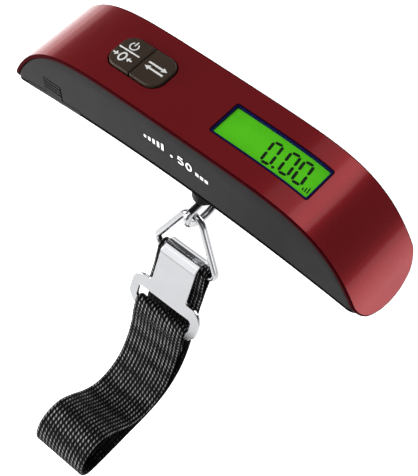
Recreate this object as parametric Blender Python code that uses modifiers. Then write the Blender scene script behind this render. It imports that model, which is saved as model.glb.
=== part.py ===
"""Digital luggage scale: an arched hand grip with a display and two keys, a swivelling eye,
a triangular ring, and a webbing sling that closes with a bent steel hook plate.

Units are metres. +X runs along the grip, from the keys to the display. +Z is up. -Y is the
side that the sling leans to. The origin is on the load post's axis, level with the case's
four lower corners.
"""

from math import atan, atan2, cos, hypot, pi, radians, sin, tan

import bmesh
import bpy
from mathutils import Matrix, Vector

MM = 0.001
GAP = 0.3 * MM  # clearance kept between neighbouring pieces

# Case
CASE_HALF_LENGTH = 64.25 * MM  # at the lower corners, before the rounded end tabs
CASE_HALF_WIDTH = 13.1 * MM
CASE_TOP = 25.3 * MM
CROWN_SHARE = 0.047  # how much of the arch is one even crown
CORNER_POWER = 5.7  # how late the arch turns down at its ends
ARCH_ROUNDNESS = 1.05
SIDE_ARCH_RISE = 4.7 * MM  # rise of the side panels' lower edge at mid length
BELLY_BOTTOM = -4.7 * MM  # the rounded underside's lowest line
END_SLOPE = radians(66)
END_CORNER = 4.4 * MM  # radius of the cover's lower corners, measured on its sloping ends
OUTLINE_FLOOR = -8.0 * MM  # the arch outline runs on to here, and the belly trims it
COVER_THICKNESS = 1.1 * MM
WALL = 1.6 * MM
CAVITY_HALF_LENGTH = 60.0 * MM

# Display
WINDOW_LOW_X = 7.4 * MM
WINDOW_HIGH_X = 40.1 * MM
WINDOW_HALF_WIDTH = 5.9 * MM
LENS_RECESS = 0.5 * MM
LENS_THICKNESS = 1.2 * MM
PANEL_MARGIN = 1.4 * MM
PANEL_THICKNESS = 1.5 * MM
BACKLIGHT_THICKNESS = 1.2 * MM
HOLDER_WALL = 1.5 * MM

# Keys
KEY_LOW_X = -31.2 * MM
KEY_HIGH_X = -12.3 * MM
KEY_SPLIT_X = -21.75 * MM
KEY_HALF_WIDTH = 5.8 * MM
KEY_CORNER = 3.9 * MM
KEY_PROUD = 0.8 * MM
KEY_FLANGE = 0.8 * MM
KEY_FLANGE_BOTTOM = 21.6 * MM
KEY_FLANGE_TOP = 22.8 * MM
KEY_STEM_BOTTOM = 21.0 * MM
KEY_STEM_RADIUS = 1.5 * MM

# Circuit board and what sits on it
BOARD_LOW_X = -29.8 * MM
BOARD_HIGH_X = 43.5 * MM
BOARD_HALF_WIDTH = 9.5 * MM
BOARD_BOTTOM = 16.0 * MM
BOARD_TOP = 17.0 * MM
SWITCH_SIZE = 6.0 * MM
SWITCH_TOP = 20.0 * MM
PLUNGER_TOP = 20.3 * MM

# Load cell
CELL_LOW_X = -6.0 * MM
CELL_HIGH_X = 45.0 * MM
CELL_HALF_WIDTH = 5.0 * MM
CELL_BOTTOM = 5.6 * MM
CELL_TOP = 12.6 * MM
CELL_WINDOW_X = (12.5 * MM, 21.5 * MM)
CELL_SCREW_X = (34.0 * MM, 41.0 * MM)

# Load post and its collar
POST_RADIUS = 2.0 * MM
POST_TOP = 15.5 * MM
COLLAR_RADIUS = 4.0 * MM
COLLAR_BOTTOM = -17.3 * MM
COLLAR_FLANGE_RADIUS = 6.0 * MM
COLLAR_BOSS_RADIUS = 7.5 * MM
COLLAR_BOSS_TOP = -0.9 * MM
EYE_WIRE = 1.3 * MM
EYE_TOP = -18.9 * MM
EYE_HALF_WIDTH = 8.25 * MM
EYE_CORNER = 1.8 * MM
EYE_SIDE = 2.0 * MM  # straight sides under the corners, before the round bottom
EYE_DEPTH = 6.1 * MM  # of the round bottom

# Case screws, battery and battery door
CASE_SCREW_PLACES = ((-32.4, -8.0), (-32.4, 8.0), (52.0, -7.0), (52.0, 7.0))
BOSS_RADIUS = 2.2 * MM
PEDESTAL_RADIUS = 2.9 * MM
PEDESTAL_ROOF = 1.0 * MM
DOOR_CENTRE_X = -46.8 * MM
DOOR_HALF_LENGTH = 11.0 * MM
DOOR_BACK_Y = 9.5 * MM
DOOR_THICKNESS = 1.5 * MM
DOOR_TAB_HALF_LENGTH = 3.3 * MM
DOOR_TAB_TOP = 9.5 * MM
BATTERY_RADIUS = 10.0 * MM
BATTERY_THICKNESS = 3.2 * MM
BATTERY_BOTTOM = 3.9 * MM

# Ring: a wire triangle in a plane that leans towards -Y
RING_WIRE = 1.2 * MM
RING_APEX = Vector((0.0, -5.1 * MM, -21.8 * MM))  # wire centre where it bears on the eye
RING_BAR = Vector((0.0, -9.9 * MM, -40.6 * MM))  # middle of the lower bar
RING_HALF_ANGLE = radians(28.4)
RING_APEX_RADIUS = 4.6 * MM
RING_CORNER_RADIUS = 2.4 * MM

# Webbing and hook plate, set out from the ring's bar
WEBBING_WIDTH = 19.8 * MM
WEBBING_THICKNESS = 1.1 * MM
WRAP_RADIUS = RING_WIRE + GAP + WEBBING_THICKNESS / 2
PLATE_LEAN = radians(24.5)
PLATE_THICKNESS = 1.2 * MM
HOOK_RADIUS = WRAP_RADIUS + WEBBING_THICKNESS / 2 + GAP + PLATE_THICKNESS / 2
HOOK_HALF_WIDTH = 7.1 * MM
FRAME_TOP = 11.5 * MM  # distances down the plate from the ring's bar
FRAME_BOTTOM = 23.2 * MM
FRAME_HALF_WIDTH = 14.0 * MM
FRAME_CORNER = 4.2 * MM
SLOT_TOP = 16.0 * MM
SLOT_BOTTOM = 20.8 * MM
SLOT_HALF_WIDTH = 10.6 * MM

# The sling's middle line, as (y, z) in millimetres from the sewn tail's end to the fold and back
SLING_ROUTE = (
    (-15.4, -54.6), (-17.6, -61.2), (-19.9, -68.0), (-22.6, -73.9), (-26.2, -79.0),
    (-30.9, -82.9), (-36.0, -85.1), (-42.5, -86.05), (-52.0, -86.05), (-62.0, -86.05),
    (-68.6, -85.5), (-71.1, -83.0), (-71.3, -79.8), (-69.9, -76.6), (-67.3, -74.3),
    (-63.6, -73.2), (-59.8, -73.9), (-56.0, -76.5), (-52.2, -80.0), (-48.3, -83.0),
    (-44.2, -84.5), (-39.8, -84.3), (-35.4, -82.4), (-31.8, -79.0), (-28.8, -74.2),
    (-26.7, -69.4), (-25.6, -65.8),
)  # fmt: skip

parts = None
cutters = None


# ---- Scene and helpers -------------------------------------------------------------------


def clear_scene():
    for obj in list(bpy.data.objects):
        bpy.data.objects.remove(obj, do_unlink=True)
    for collection in list(bpy.data.collections):
        bpy.data.collections.remove(collection)


def make_collections():
    global parts, cutters
    parts = bpy.data.collections.new("digital_luggage_scale")
    cutters = bpy.data.collections.new("cutters")
    for collection in (parts, cutters):
        bpy.context.scene.collection.children.link(collection)


def material(name, colour, roughness, metallic=0.0):
    made = bpy.data.materials.new(name)
    made.use_nodes = True
    shader = made.node_tree.nodes["Principled BSDF"]
    shader.inputs["Base Color"].default_value = (*colour, 1.0)
    shader.inputs["Roughness"].default_value = roughness
    shader.inputs["Metallic"].default_value = metallic
    return made


def add_object(name, mesh, look=None):
    """A part when it has a material, or else a cutter."""
    obj = bpy.data.objects.new(name, mesh)
    if look is None:
        cutters.objects.link(obj)
        obj.hide_render = True
        obj.display_type = "WIRE"
    else:
        parts.objects.link(obj)
        mesh.materials.append(look)
    return obj


def mesh_from(name, build):
    """A mesh that build(bm) fills."""
    bm = bmesh.new()
    build(bm)
    bmesh.ops.recalc_face_normals(bm, faces=bm.faces)
    mesh = bpy.data.meshes.new(name)
    bm.to_mesh(mesh)
    bm.free()
    return mesh


def box(name, low, high, look=None):
    size = [b - a for a, b in zip(low, high)]
    centre = [(a + b) / 2 for a, b in zip(low, high)]
    matrix = Matrix.Translation(centre) @ Matrix.Diagonal((*size, 1.0))
    return add_object(
        name, mesh_from(name, lambda bm: bmesh.ops.create_cube(bm, size=1.0, matrix=matrix)), look
    )


def cylinder(name, radius, low, high, place=(0.0, 0.0), look=None, axis="Z", sides=32):
    """A round bar from low to high along an axis. place is its centre across that axis."""
    turn = {"Z": Matrix(), "Y": Matrix.Rotation(pi / 2, 4, "X")}[axis]
    middle = (low + high) / 2
    centre = (*place, middle) if axis == "Z" else (place[0], middle, place[1])

    def build(bm):
        bmesh.ops.create_cone(
            bm,
            cap_ends=True,
            segments=sides,
            radius1=radius,
            radius2=radius,
            depth=high - low,
            matrix=Matrix.Translation(centre) @ turn,
        )

    obj = add_object(name, mesh_from(name, build), look)
    shade_round(obj)
    return obj


def shade_round(obj):
    obj.data.shade_smooth()
    obj.data.set_sharp_from_angle(angle=radians(35))


def turned(name, profile, look, sides=32, place=(0.0, 0.0)):
    """A turned piece: the (radius, z) profile runs down its outer side, from axis to axis, or round a ring."""
    mesh = bpy.data.meshes.new(name)
    points = [(r, 0.0, z) for r, z in profile]
    edges = [(i, i + 1) for i in range(len(points) - 1)]
    if profile[0][0] > 0:
        edges.append((len(points) - 1, 0))
    mesh.from_pydata(points, edges, [])
    obj = add_object(name, mesh, look)
    obj.location = (*place, 0.0)
    turn = obj.modifiers.new("turn", "SCREW")
    turn.steps = sides
    turn.render_steps = sides
    turn.use_merge_vertices = True
    turn.merge_threshold = 0.00001
    turn.use_smooth_shade = True
    return obj


PLANES = {
    "XY": Matrix(),
    "XZ": Matrix.Rotation(pi / 2, 4, "X"),  # local z becomes -Y
    "YZ": Matrix(((0, 0, 1, 0), (1, 0, 0, 0), (0, 1, 0, 0), (0, 0, 0, 1))),  # local z becomes X
}


def mesh_of_curve(curve_object):
    """The curve's mesh in world space, with its caps joined to its sides. The curve is removed."""
    bpy.context.view_layer.update()
    graph = bpy.context.evaluated_depsgraph_get()
    mesh = bpy.data.meshes.new_from_object(curve_object.evaluated_get(graph))
    mesh.transform(curve_object.matrix_world)
    bm = bmesh.new()
    bm.from_mesh(mesh)
    bmesh.ops.remove_doubles(bm, verts=bm.verts, dist=0.000002)
    bmesh.ops.recalc_face_normals(bm, faces=bm.faces)
    bm.to_mesh(mesh)
    bm.free()
    curve = curve_object.data
    bpy.data.objects.remove(curve_object)
    bpy.data.curves.remove(curve)
    return mesh


def prism(name, outlines, low, high, plane, look=None):
    """An outline, with any holes after it, extruded from low to high across its plane."""
    curve = bpy.data.curves.new(name, "CURVE")
    curve.dimensions = "2D"
    curve.fill_mode = "BOTH"
    curve.extrude = (high - low) / 2
    for outline in outlines:
        spline = curve.splines.new("POLY")
        spline.points.add(len(outline) - 1)
        for point, (u, v) in zip(spline.points, outline):
            point.co = (u, v, 0.0, 1.0)
        spline.use_cyclic_u = True
    drawn = bpy.data.objects.new(name, curve)
    cutters.objects.link(drawn)
    middle = (low + high) / 2
    shift = {"XY": (0, 0, middle), "XZ": (0, middle, 0), "YZ": (middle, 0, 0)}[plane]
    drawn.matrix_world = Matrix.Translation(shift) @ PLANES[plane]
    mesh = mesh_of_curve(drawn)
    mesh.name = name
    return add_object(name, mesh, look)


def wire(name, path, radius, look, closed=True):
    """A round wire along a path, as a mesh."""
    curve = bpy.data.curves.new(name, "CURVE")
    curve.dimensions = "3D"
    curve.bevel_depth = radius
    curve.bevel_resolution = 2
    curve.use_fill_caps = not closed
    spline = curve.splines.new("POLY")
    spline.points.add(len(path) - 1)
    for point, place in zip(spline.points, path):
        point.co = (*place, 1.0)
    spline.use_cyclic_u = closed
    drawn = bpy.data.objects.new(name, curve)
    cutters.objects.link(drawn)
    mesh = mesh_of_curve(drawn)
    mesh.name = name
    obj = add_object(name, mesh, look)
    shade_round(obj)
    return obj


def boolean(target, other, operation):
    step = target.modifiers.new(f"{operation.lower()}_{other.name}", "BOOLEAN")
    step.operation = operation
    step.solver = "EXACT"
    step.object = other
    return target


def cut(target, *others):
    for other in others:
        boolean(target, other, "DIFFERENCE")
    return target


def join(target, *others):
    for other in others:
        boolean(target, other, "UNION")
    return target


def joint_empty(name, place):
    """An empty on a joint's axis, which the pieces that move with it hang on."""
    empty = bpy.data.objects.new(name, None)
    empty.empty_display_size = 0.01
    empty.location = place
    parts.objects.link(empty)
    return empty


def hang_on(empty, *objects):
    bpy.context.view_layer.update()
    for obj in objects:
        obj.parent = empty
        obj.matrix_parent_inverse = empty.matrix_world.inverted()


# ---- Outlines ----------------------------------------------------------------------------


def rounded(corners, radii, steps=6):
    """A closed outline through corners, each rounded to its own radius."""
    outline = []
    count = len(corners)
    for i, (corner, radius) in enumerate(zip(corners, radii)):
        corner = Vector(corner)
        before = (Vector(corners[i - 1]) - corner).normalized()
        after = (Vector(corners[(i + 1) % count]) - corner).normalized()
        if radius == 0:
            outline.append(tuple(corner))
            continue
        half = before.angle(after) / 2
        centre = corner + (before + after).normalized() * (radius / sin(half))
        start = corner + before * (radius / tan(half)) - centre
        end = corner + after * (radius / tan(half)) - centre
        first = atan2(start.y, start.x)
        sweep = (atan2(end.y, end.x) - first + pi) % (2 * pi) - pi
        for step in range(steps + 1):
            angle = first + sweep * step / steps
            outline.append((centre.x + radius * cos(angle), centre.y + radius * sin(angle)))
    return outline


def arch_point(angle):
    """A point of the case's arch: angle runs from 0 at the -X end to pi at the +X end."""
    share = abs(cos(angle))
    fall = CROWN_SHARE * share**2 + (1 - CROWN_SHARE) * share**CORNER_POWER
    return Vector((-CASE_HALF_LENGTH * cos(angle), CASE_TOP * max(1 - fall, 0) ** (1 / ARCH_ROUNDNESS)))


def arch_outline(inset=0.0, steps=56):
    """The arch from the lower -X end to the lower +X end, moved in by inset."""
    small = 0.002
    tail = (0 - OUTLINE_FLOOR) / tan(END_SLOPE)
    points = []
    for step in range(1, steps):
        angle = pi * step / steps
        along = (arch_point(min(angle + small, pi)) - arch_point(angle - small)).normalized()
        inward = Vector((along.y, -along.x))
        points.append(arch_point(angle) + inward * inset)
    shift = inset / sin(END_SLOPE)
    foot = Vector((CASE_HALF_LENGTH + tail - shift, OUTLINE_FLOOR))
    return [(-foot.x, foot.y)] + [tuple(p) for p in points] + [tuple(foot)]


def arch_height(x, inset=0.0):
    """The arch outline's height over x."""
    outline = arch_outline(inset)
    for (x0, z0), (x1, z1) in zip(outline, outline[1:]):
        if x0 <= x <= x1:
            return z0 + (z1 - z0) * (x - x0) / (x1 - x0)
    return OUTLINE_FLOOR


def belly_height(x, y):
    """The rounded underside: the side panels' arched edge, bulging down to a straight keel."""
    edge = SIDE_ARCH_RISE * (1 - (x / CASE_HALF_LENGTH) ** 2)
    return edge - (edge - BELLY_BOTTOM) * (1 - (y / CASE_HALF_WIDTH) ** 2)


def belly_slab(name, low, high, under, over, look=None, steps=(30, 16)):
    """A slab that follows the underside, from `under` to `over` above it. under=None is flat and low."""

    def build(bm):
        size = [b - a for a, b in zip(low, high)]
        centre = ((low[0] + high[0]) / 2, (low[1] + high[1]) / 2, 0.0)
        matrix = Matrix.Translation(centre) @ Matrix.Diagonal((size[0], size[1], 1.0, 1.0))
        bmesh.ops.create_grid(
            bm, x_segments=steps[0], y_segments=steps[1], size=0.5, matrix=matrix
        )
        raised = bmesh.ops.extrude_face_region(bm, geom=list(bm.faces))["geom"]
        upper = {item for item in raised if isinstance(item, bmesh.types.BMVert)}
        for vert in bm.verts:
            surface = belly_height(vert.co.x, vert.co.y)
            if vert in upper:
                vert.co.z = surface + over
            else:
                vert.co.z = 2.5 * OUTLINE_FLOOR if under is None else surface + under

    return add_object(name, mesh_from(name, build), look)


def screw_seat(x, y):
    """The height that a case screw's head bears on, deep enough to hide the head in the underside."""
    return belly_height(x, abs(y) + PEDESTAL_RADIUS) + 1.3 * MM


def smooth_route(route, spacing):
    """Even points on the smooth (Catmull-Rom) curve through a route."""
    ends = [route[0] * 2 - route[1]] + list(route) + [route[-1] * 2 - route[-2]]
    fine = []
    for a, b, c, d in zip(ends, ends[1:], ends[2:], ends[3:]):
        for step in range(12):
            t = step / 12
            fine.append(
                0.5 * (2 * b + (c - a) * t + (2 * a - 5 * b + 4 * c - d) * t**2
                       + (3 * b - 3 * c + d - a) * t**3)
            )  # fmt: skip
    fine.append(route[-1])
    lengths = [0.0]
    for a, b in zip(fine, fine[1:]):
        lengths.append(lengths[-1] + (b - a).length)
    count = round(lengths[-1] / spacing)
    points = []
    at = 0
    for i in range(count + 1):
        want = lengths[-1] * i / count
        while at < len(fine) - 2 and lengths[at + 1] < want:
            at += 1
        share = (want - lengths[at]) / (lengths[at + 1] - lengths[at])
        points.append(fine[at].lerp(fine[at + 1], min(share, 1.0)))
    return points


def band_outline(path, thickness):
    """The closed outline of a band of even thickness along a 2D path."""
    sides = ([], [])
    for i, point in enumerate(path):
        along = (path[min(i + 1, len(path) - 1)] - path[max(i - 1, 0)]).normalized()
        across = Vector((-along.y, along.x)) * thickness / 2
        sides[0].append(tuple(point + across))
        sides[1].append(tuple(point - across))
    return sides[0] + sides[1][::-1]


def arc_path(centre, radius, first, last, steps):
    """Points of an arc, for angles counted from +Y towards +Z."""
    turn = [first + (last - first) * i / steps for i in range(steps + 1)]
    return [Vector((centre.x + radius * cos(a), centre.y + radius * sin(a))) for a in turn]


# ---- Case --------------------------------------------------------------------------------


def end_corner(side, steps=8):
    """What rounds off a lower corner of the cover's ends, as (y, z) points. side is -1 or 1."""
    inner = CASE_HALF_WIDTH - END_CORNER
    outline = [(side * inner, 2 * OUTLINE_FLOOR)]
    for step in range(steps + 1):
        past = END_CORNER * step / steps
        rise = (END_CORNER - (END_CORNER**2 - past**2) ** 0.5) * sin(END_SLOPE)
        outline.append((side * (inner + past), belly_height(CASE_HALF_LENGTH, inner + past) + rise))
    wide = side * 1.1 * CASE_HALF_WIDTH
    return outline + [(wide, outline[-1][1]), (wide, 2 * OUTLINE_FLOOR)]


def make_case(looks):
    """The red arched cover, the grey housing under it, and the four screws that hold them."""
    reach = 1.2 * CASE_HALF_LENGTH
    under_belly = belly_slab(
        "under_belly", (-reach, -1.1 * CASE_HALF_WIDTH), (reach, 1.1 * CASE_HALF_WIDTH),
        None, 0.0, steps=(44, 20),
    )  # fmt: skip

    cover_outline = arch_outline() + arch_outline(COVER_THICKNESS)[::-1]
    cover = prism(
        "top_cover", [cover_outline], -CASE_HALF_WIDTH, CASE_HALF_WIDTH, "XZ", looks["cover"]
    )
    window = box(
        "window_opening",
        (WINDOW_LOW_X, -WINDOW_HALF_WIDTH, KEY_FLANGE_BOTTOM - 5 * MM),
        (WINDOW_HIGH_X, WINDOW_HALF_WIDTH, 1.2 * CASE_TOP),
    )
    key_opening = prism(
        "key_opening", [key_pad_outline(GAP)], BOARD_TOP, 1.2 * CASE_TOP, "XY"
    )
    corners = [
        prism("end_corner", [end_corner(side)], -reach, reach, "YZ") for side in (-1, 1)
    ]
    cut(cover, under_belly, window, key_opening, *corners)
    for number, (x, y) in enumerate(CASE_SCREW_PLACES, 1):
        place = (x * MM, y * MM)
        floor = screw_seat(*place) + PEDESTAL_ROOF + GAP
        roof = arch_height(abs(place[0]) + BOSS_RADIUS, COVER_THICKNESS * 0.6)
        boss = cylinder(f"boss_{number}", BOSS_RADIUS, floor, roof, place, sides=20)
        pilot = cylinder(f"boss_hole_{number}", 1.3 * MM, floor - MM, floor + 8 * MM, place, sides=16)
        join(cover, boss)
        cut(cover, pilot)

    housing_outline = arch_outline(COVER_THICKNESS + GAP)
    housing = prism(
        "base_housing", [housing_outline], -CASE_HALF_WIDTH, CASE_HALF_WIDTH, "XZ", looks["housing"]
    )
    cavity = belly_slab(
        "cavity",
        (-CAVITY_HALF_LENGTH, WALL - CASE_HALF_WIDTH),
        (CAVITY_HALF_LENGTH, CASE_HALF_WIDTH - WALL),
        WALL, 1.5 * CASE_TOP,
    )  # fmt: skip
    cell_block = box(
        "cell_block", (29 * MM, -4.8 * MM, BELLY_BOTTOM + MM), (44.5 * MM, 4.8 * MM, CELL_BOTTOM - GAP)
    )
    collar_boss = cylinder(
        "collar_boss", COLLAR_BOSS_RADIUS, BELLY_BOTTOM + MM, COLLAR_BOSS_TOP, sides=40
    )
    collar_hole = cylinder(
        "collar_hole", COLLAR_RADIUS + GAP, 2 * OUTLINE_FLOOR, 5 * MM, sides=40
    )
    cut(housing, cavity)
    join(housing, cell_block, collar_boss)
    for number, (x, y) in enumerate(CASE_SCREW_PLACES, 1):
        place = (x * MM, y * MM)
        top = screw_seat(*place) + PEDESTAL_ROOF
        join(housing, cylinder(f"pedestal_{number}", PEDESTAL_RADIUS, top - 5 * MM, top, place, sides=24))
    cut(housing, under_belly, collar_hole)
    for number, x in enumerate(CELL_SCREW_X, 1):
        cut(housing, cylinder(f"cell_pilot_{number}", 1.8 * MM, -1.5 * MM, CELL_TOP, (x, 0.0), sides=20))
    for number, (x, y) in enumerate(CASE_SCREW_PLACES, 1):
        place = (x * MM, y * MM)
        seat = screw_seat(*place)
        hole = cylinder(f"screw_hole_{number}", 1.3 * MM, seat - MM, seat + 5 * MM, place, sides=16)
        recess = cylinder(f"screw_recess_{number}", 2.3 * MM, seat - 9 * MM, seat, place, sides=24)
        cut(housing, hole, recess)
    make_door_opening(housing)

    for number, (x, y) in enumerate(CASE_SCREW_PLACES, 1):
        place = (x * MM, y * MM)
        seat = screw_seat(*place) - GAP
        profile = (
            (0.0, seat + 9.0 * MM),
            (1.0 * MM, seat + 8.5 * MM),
            (1.0 * MM, seat),
            (2.0 * MM, seat),
            (2.0 * MM, seat - 0.8 * MM),
            (1.4 * MM, seat - 1.2 * MM),
            (0.0, seat - 1.2 * MM),
        )
        turned(f"case_screw_{number}", profile, looks["screw"], 20, place)


# ---- Battery compartment -----------------------------------------------------------------


def door_limits(margin=0.0):
    low = (DOOR_CENTRE_X - DOOR_HALF_LENGTH - margin, -CASE_HALF_WIDTH)
    high = (DOOR_CENTRE_X + DOOR_HALF_LENGTH + margin, DOOR_BACK_Y + margin)
    return low, high


def tab_box(name, margin, inner_y):
    low = (DOOR_CENTRE_X - DOOR_TAB_HALF_LENGTH - margin, -CASE_HALF_WIDTH - 4 * margin, 2.6 * MM)
    high = (DOOR_CENTRE_X + DOOR_TAB_HALF_LENGTH + margin, inner_y, DOOR_TAB_TOP + margin)
    return box(name, low, high)


def make_door_opening(housing):
    low, high = door_limits(GAP)
    opening = belly_slab(
        "door_opening", (low[0], low[1] - 2 * MM), high, None, DOOR_THICKNESS + GAP
    )
    notch = tab_box("tab_notch", GAP, WALL + GAP - CASE_HALF_WIDTH)
    cut(housing, opening, notch)


def make_battery_parts(looks):
    low, high = door_limits()
    door = belly_slab("battery_door", low, high, 0.0, DOOR_THICKNESS, looks["housing"], (14, 16))
    tab = tab_box("door_tab", 0.0, DOOR_THICKNESS - CASE_HALF_WIDTH)
    join(door, tab)
    for number in range(3):
        z = DOOR_TAB_TOP - (1.5 + 1.6 * number) * MM
        groove = box(
            f"grip_groove_{number}",
            (DOOR_CENTRE_X - 2.9 * MM, -CASE_HALF_WIDTH - MM, z),
            (DOOR_CENTRE_X + 2.9 * MM, -CASE_HALF_WIDTH + 0.45 * MM, z + 0.6 * MM),
        )
        cut(door, groove)

    holder = box(
        "battery_holder",
        (DOOR_CENTRE_X - DOOR_HALF_LENGTH + 0.2 * MM, -11.1 * MM, 3.0 * MM),
        (DOOR_CENTRE_X + DOOR_HALF_LENGTH + 0.2 * MM, 11.1 * MM, 8.3 * MM),
        looks["black_plastic"],
    )
    bore = cylinder(
        "battery_bore", BATTERY_RADIUS + GAP, 0.0, 7.8 * MM, (DOOR_CENTRE_X, 0.0), sides=48
    )
    cut(holder, bore)

    edge = 0.35 * MM
    top = BATTERY_BOTTOM + BATTERY_THICKNESS
    inner = BATTERY_RADIUS - 0.9 * MM
    turned(
        "coin_cell",
        (
            (0.0, top), (BATTERY_RADIUS - edge, top), (BATTERY_RADIUS, top - edge),
            (BATTERY_RADIUS, BATTERY_BOTTOM + 0.4 * MM), (inner, BATTERY_BOTTOM), (0.0, BATTERY_BOTTOM),
        ),
        looks["cell"], 48, (DOOR_CENTRE_X, 0.0),
    )  # fmt: skip
    cylinder(
        "battery_contact_top", 5.5 * MM, top + 0.12 * MM, top + 0.42 * MM, (DOOR_CENTRE_X, 0.0), looks["contact"]
    )
    strip = [
        Vector((DOOR_CENTRE_X - 9.4 * MM, 2.9 * MM)),
        Vector((DOOR_CENTRE_X - 6.0 * MM, 2.9 * MM)),
        Vector((DOOR_CENTRE_X - 3.0 * MM, 3.45 * MM)),
        Vector((DOOR_CENTRE_X - 0.5 * MM, 2.9 * MM)),
    ]
    prism(
        "battery_contact_bottom", [band_outline(strip, 0.3 * MM)], -2.0 * MM, 2.0 * MM, "XZ", looks["contact"]
    )
    return door


# ---- Display -----------------------------------------------------------------------------


def make_display(looks):
    """Lens, holder, LCD, light guide and the two rubber connector strips, from the top down."""
    low = WINDOW_LOW_X + GAP
    high = WINDOW_HIGH_X - GAP
    steps = 10
    places = [low + (high - low) * i / steps for i in range(steps + 1)]
    lens = [(x, arch_height(x, LENS_RECESS)) for x in places]
    lens += [(x, arch_height(x, LENS_RECESS + LENS_THICKNESS)) for x in reversed(places)]
    half = WINDOW_HALF_WIDTH - GAP
    prism("lcd_lens", [lens], -half, half, "XZ", looks["lens"])

    panel_low = WINDOW_LOW_X - PANEL_MARGIN
    panel_high = WINDOW_HIGH_X + PANEL_MARGIN
    top_low = arch_height(low, LENS_RECESS + LENS_THICKNESS) - GAP
    top_high = arch_height(high, LENS_RECESS + LENS_THICKNESS) - GAP
    slope = (top_high - top_low) / (high - low)

    def slanted(from_x, to_x, drop_top, drop_bottom):
        """An outline parallel to the LCD's top face."""
        line = [(x, top_low + slope * (x - low)) for x in (from_x, to_x)]
        return [(x, z - drop_top) for x, z in line] + [(x, z - drop_bottom) for x, z in reversed(line)]

    panel_half = WINDOW_HALF_WIDTH + PANEL_MARGIN
    panel = slanted(panel_low, panel_high, 0.0, PANEL_THICKNESS)
    prism("lcd_panel", [panel], -panel_half, panel_half, "XZ", looks["lcd"])
    guide_top = PANEL_THICKNESS + GAP
    guide = slanted(panel_low + MM, panel_high - MM, guide_top, guide_top + BACKLIGHT_THICKNESS)
    guide_half = WINDOW_HALF_WIDTH - 0.2 * MM
    prism("backlight_guide", [guide], -guide_half, guide_half, "XZ", looks["backlight"])
    strip = slanted(panel_low + 2 * MM, panel_high - 2 * MM, guide_top, 0.0)[:2]
    strip += [(panel_high - 2 * MM, BOARD_TOP + GAP), (panel_low + 2 * MM, BOARD_TOP + GAP)]
    for name, side in (("front", -1), ("back", 1)):
        ends = sorted((side * (guide_half + GAP), side * (panel_half - 0.1 * MM)))
        prism(f"connector_strip_{name}", [strip], *ends, "XZ", looks["rubber"])

    inner_low = panel_low - GAP
    inner_high = panel_high + GAP
    places = [inner_low - HOLDER_WALL, inner_low, *places, inner_high, inner_high + HOLDER_WALL]
    roof = [(x, arch_height(x, COVER_THICKNESS + GAP)) for x in places]
    outline = roof + [(places[-1], BOARD_TOP + GAP), (places[0], BOARD_TOP + GAP)]
    holder_half = panel_half + GAP + HOLDER_WALL / 2
    holder = prism("lcd_holder", [outline], -holder_half, holder_half, "XZ", looks["holder"])
    hollow = box(
        "lcd_hollow",
        (inner_low, -panel_half - GAP, BOARD_TOP - MM),
        (inner_high, panel_half + GAP, 1.2 * CASE_TOP),
    )
    cut(holder, hollow)


# ---- Keys and circuit board --------------------------------------------------------------


def key_pad_outline(margin=0.0):
    low = (KEY_LOW_X - margin, -KEY_HALF_WIDTH - margin)
    high = (KEY_HIGH_X + margin, KEY_HALF_WIDTH + margin)
    corners = (low, (high[0], low[1]), high, (low[0], high[1]))
    return rounded(corners, [KEY_CORNER + margin] * 4)


def make_key(name, from_x, to_x, rounded_side, looks):
    """A key cap: the part that stands in the opening, the flange that keeps it in, and its stem."""

    def outline(margin):
        ends = {"low": (from_x - margin, to_x), "high": (from_x, to_x + margin)}[rounded_side]
        side = KEY_HALF_WIDTH + margin
        corners = ((ends[0], -side), (ends[1], -side), (ends[1], side), (ends[0], side))
        round_corner = KEY_CORNER + margin
        small = 0.3 * MM
        radii = (round_corner, small, small, round_corner)
        if rounded_side == "high":
            radii = (small, round_corner, round_corner, small)
        return rounded(corners, radii)

    cap = prism(name, [outline(0.0)], KEY_FLANGE_TOP - 0.4 * MM, 1.2 * CASE_TOP, "XY", looks["key"])
    raised = prism(
        f"{name}_top_limit",
        [arch_outline(-KEY_PROUD)],
        -CASE_HALF_WIDTH,
        CASE_HALF_WIDTH,
        "XZ",
    )
    boolean(cap, raised, "INTERSECT")
    flange = prism(f"{name}_flange", [outline(KEY_FLANGE)], KEY_FLANGE_BOTTOM, KEY_FLANGE_TOP, "XY")
    middle = ((from_x + to_x) / 2, 0.0)
    stem = cylinder(
        f"{name}_stem", KEY_STEM_RADIUS, KEY_STEM_BOTTOM, KEY_FLANGE_TOP - 0.5 * MM, middle, sides=20
    )
    join(cap, flange, stem)
    return cap


def make_electronics(looks):
    board = box(
        "circuit_board",
        (BOARD_LOW_X, -BOARD_HALF_WIDTH, BOARD_BOTTOM),
        (BOARD_HIGH_X, BOARD_HALF_WIDTH, BOARD_TOP),
        looks["board"],
    )
    ease = board.modifiers.new("corners", "BEVEL")
    ease.width = 0.2 * MM
    ease.segments = 1
    keys = []
    split = ((KEY_LOW_X, KEY_SPLIT_X - GAP / 2, "low"), (KEY_SPLIT_X + GAP / 2, KEY_HIGH_X, "high"))
    for name, (from_x, to_x, side) in zip(("power", "unit"), split):
        keys.append(make_key(f"{name}_button", from_x, to_x, side, looks))
        middle = (from_x + to_x) / 2
        half = SWITCH_SIZE / 2
        switch = box(
            f"{name}_switch",
            (middle - half, -half, BOARD_TOP + GAP),
            (middle + half, half, SWITCH_TOP),
            looks["switch"],
        )
        plunger = cylinder(
            f"{name}_plunger", 1.6 * MM, SWITCH_TOP - MM, PLUNGER_TOP, (middle, 0.0), sides=20
        )
        join(switch, plunger)
    turned(
        "controller_chip",
        (
            (0.0, BOARD_BOTTOM - GAP),
            (4.0 * MM, BOARD_BOTTOM - GAP),
            (3.2 * MM, BOARD_BOTTOM - 1.1 * MM),
            (0.0, BOARD_BOTTOM - 1.5 * MM),
        ),
        looks["chip"],
        24,
        (-14.0 * MM, 0.0),
    )
    return keys


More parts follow.
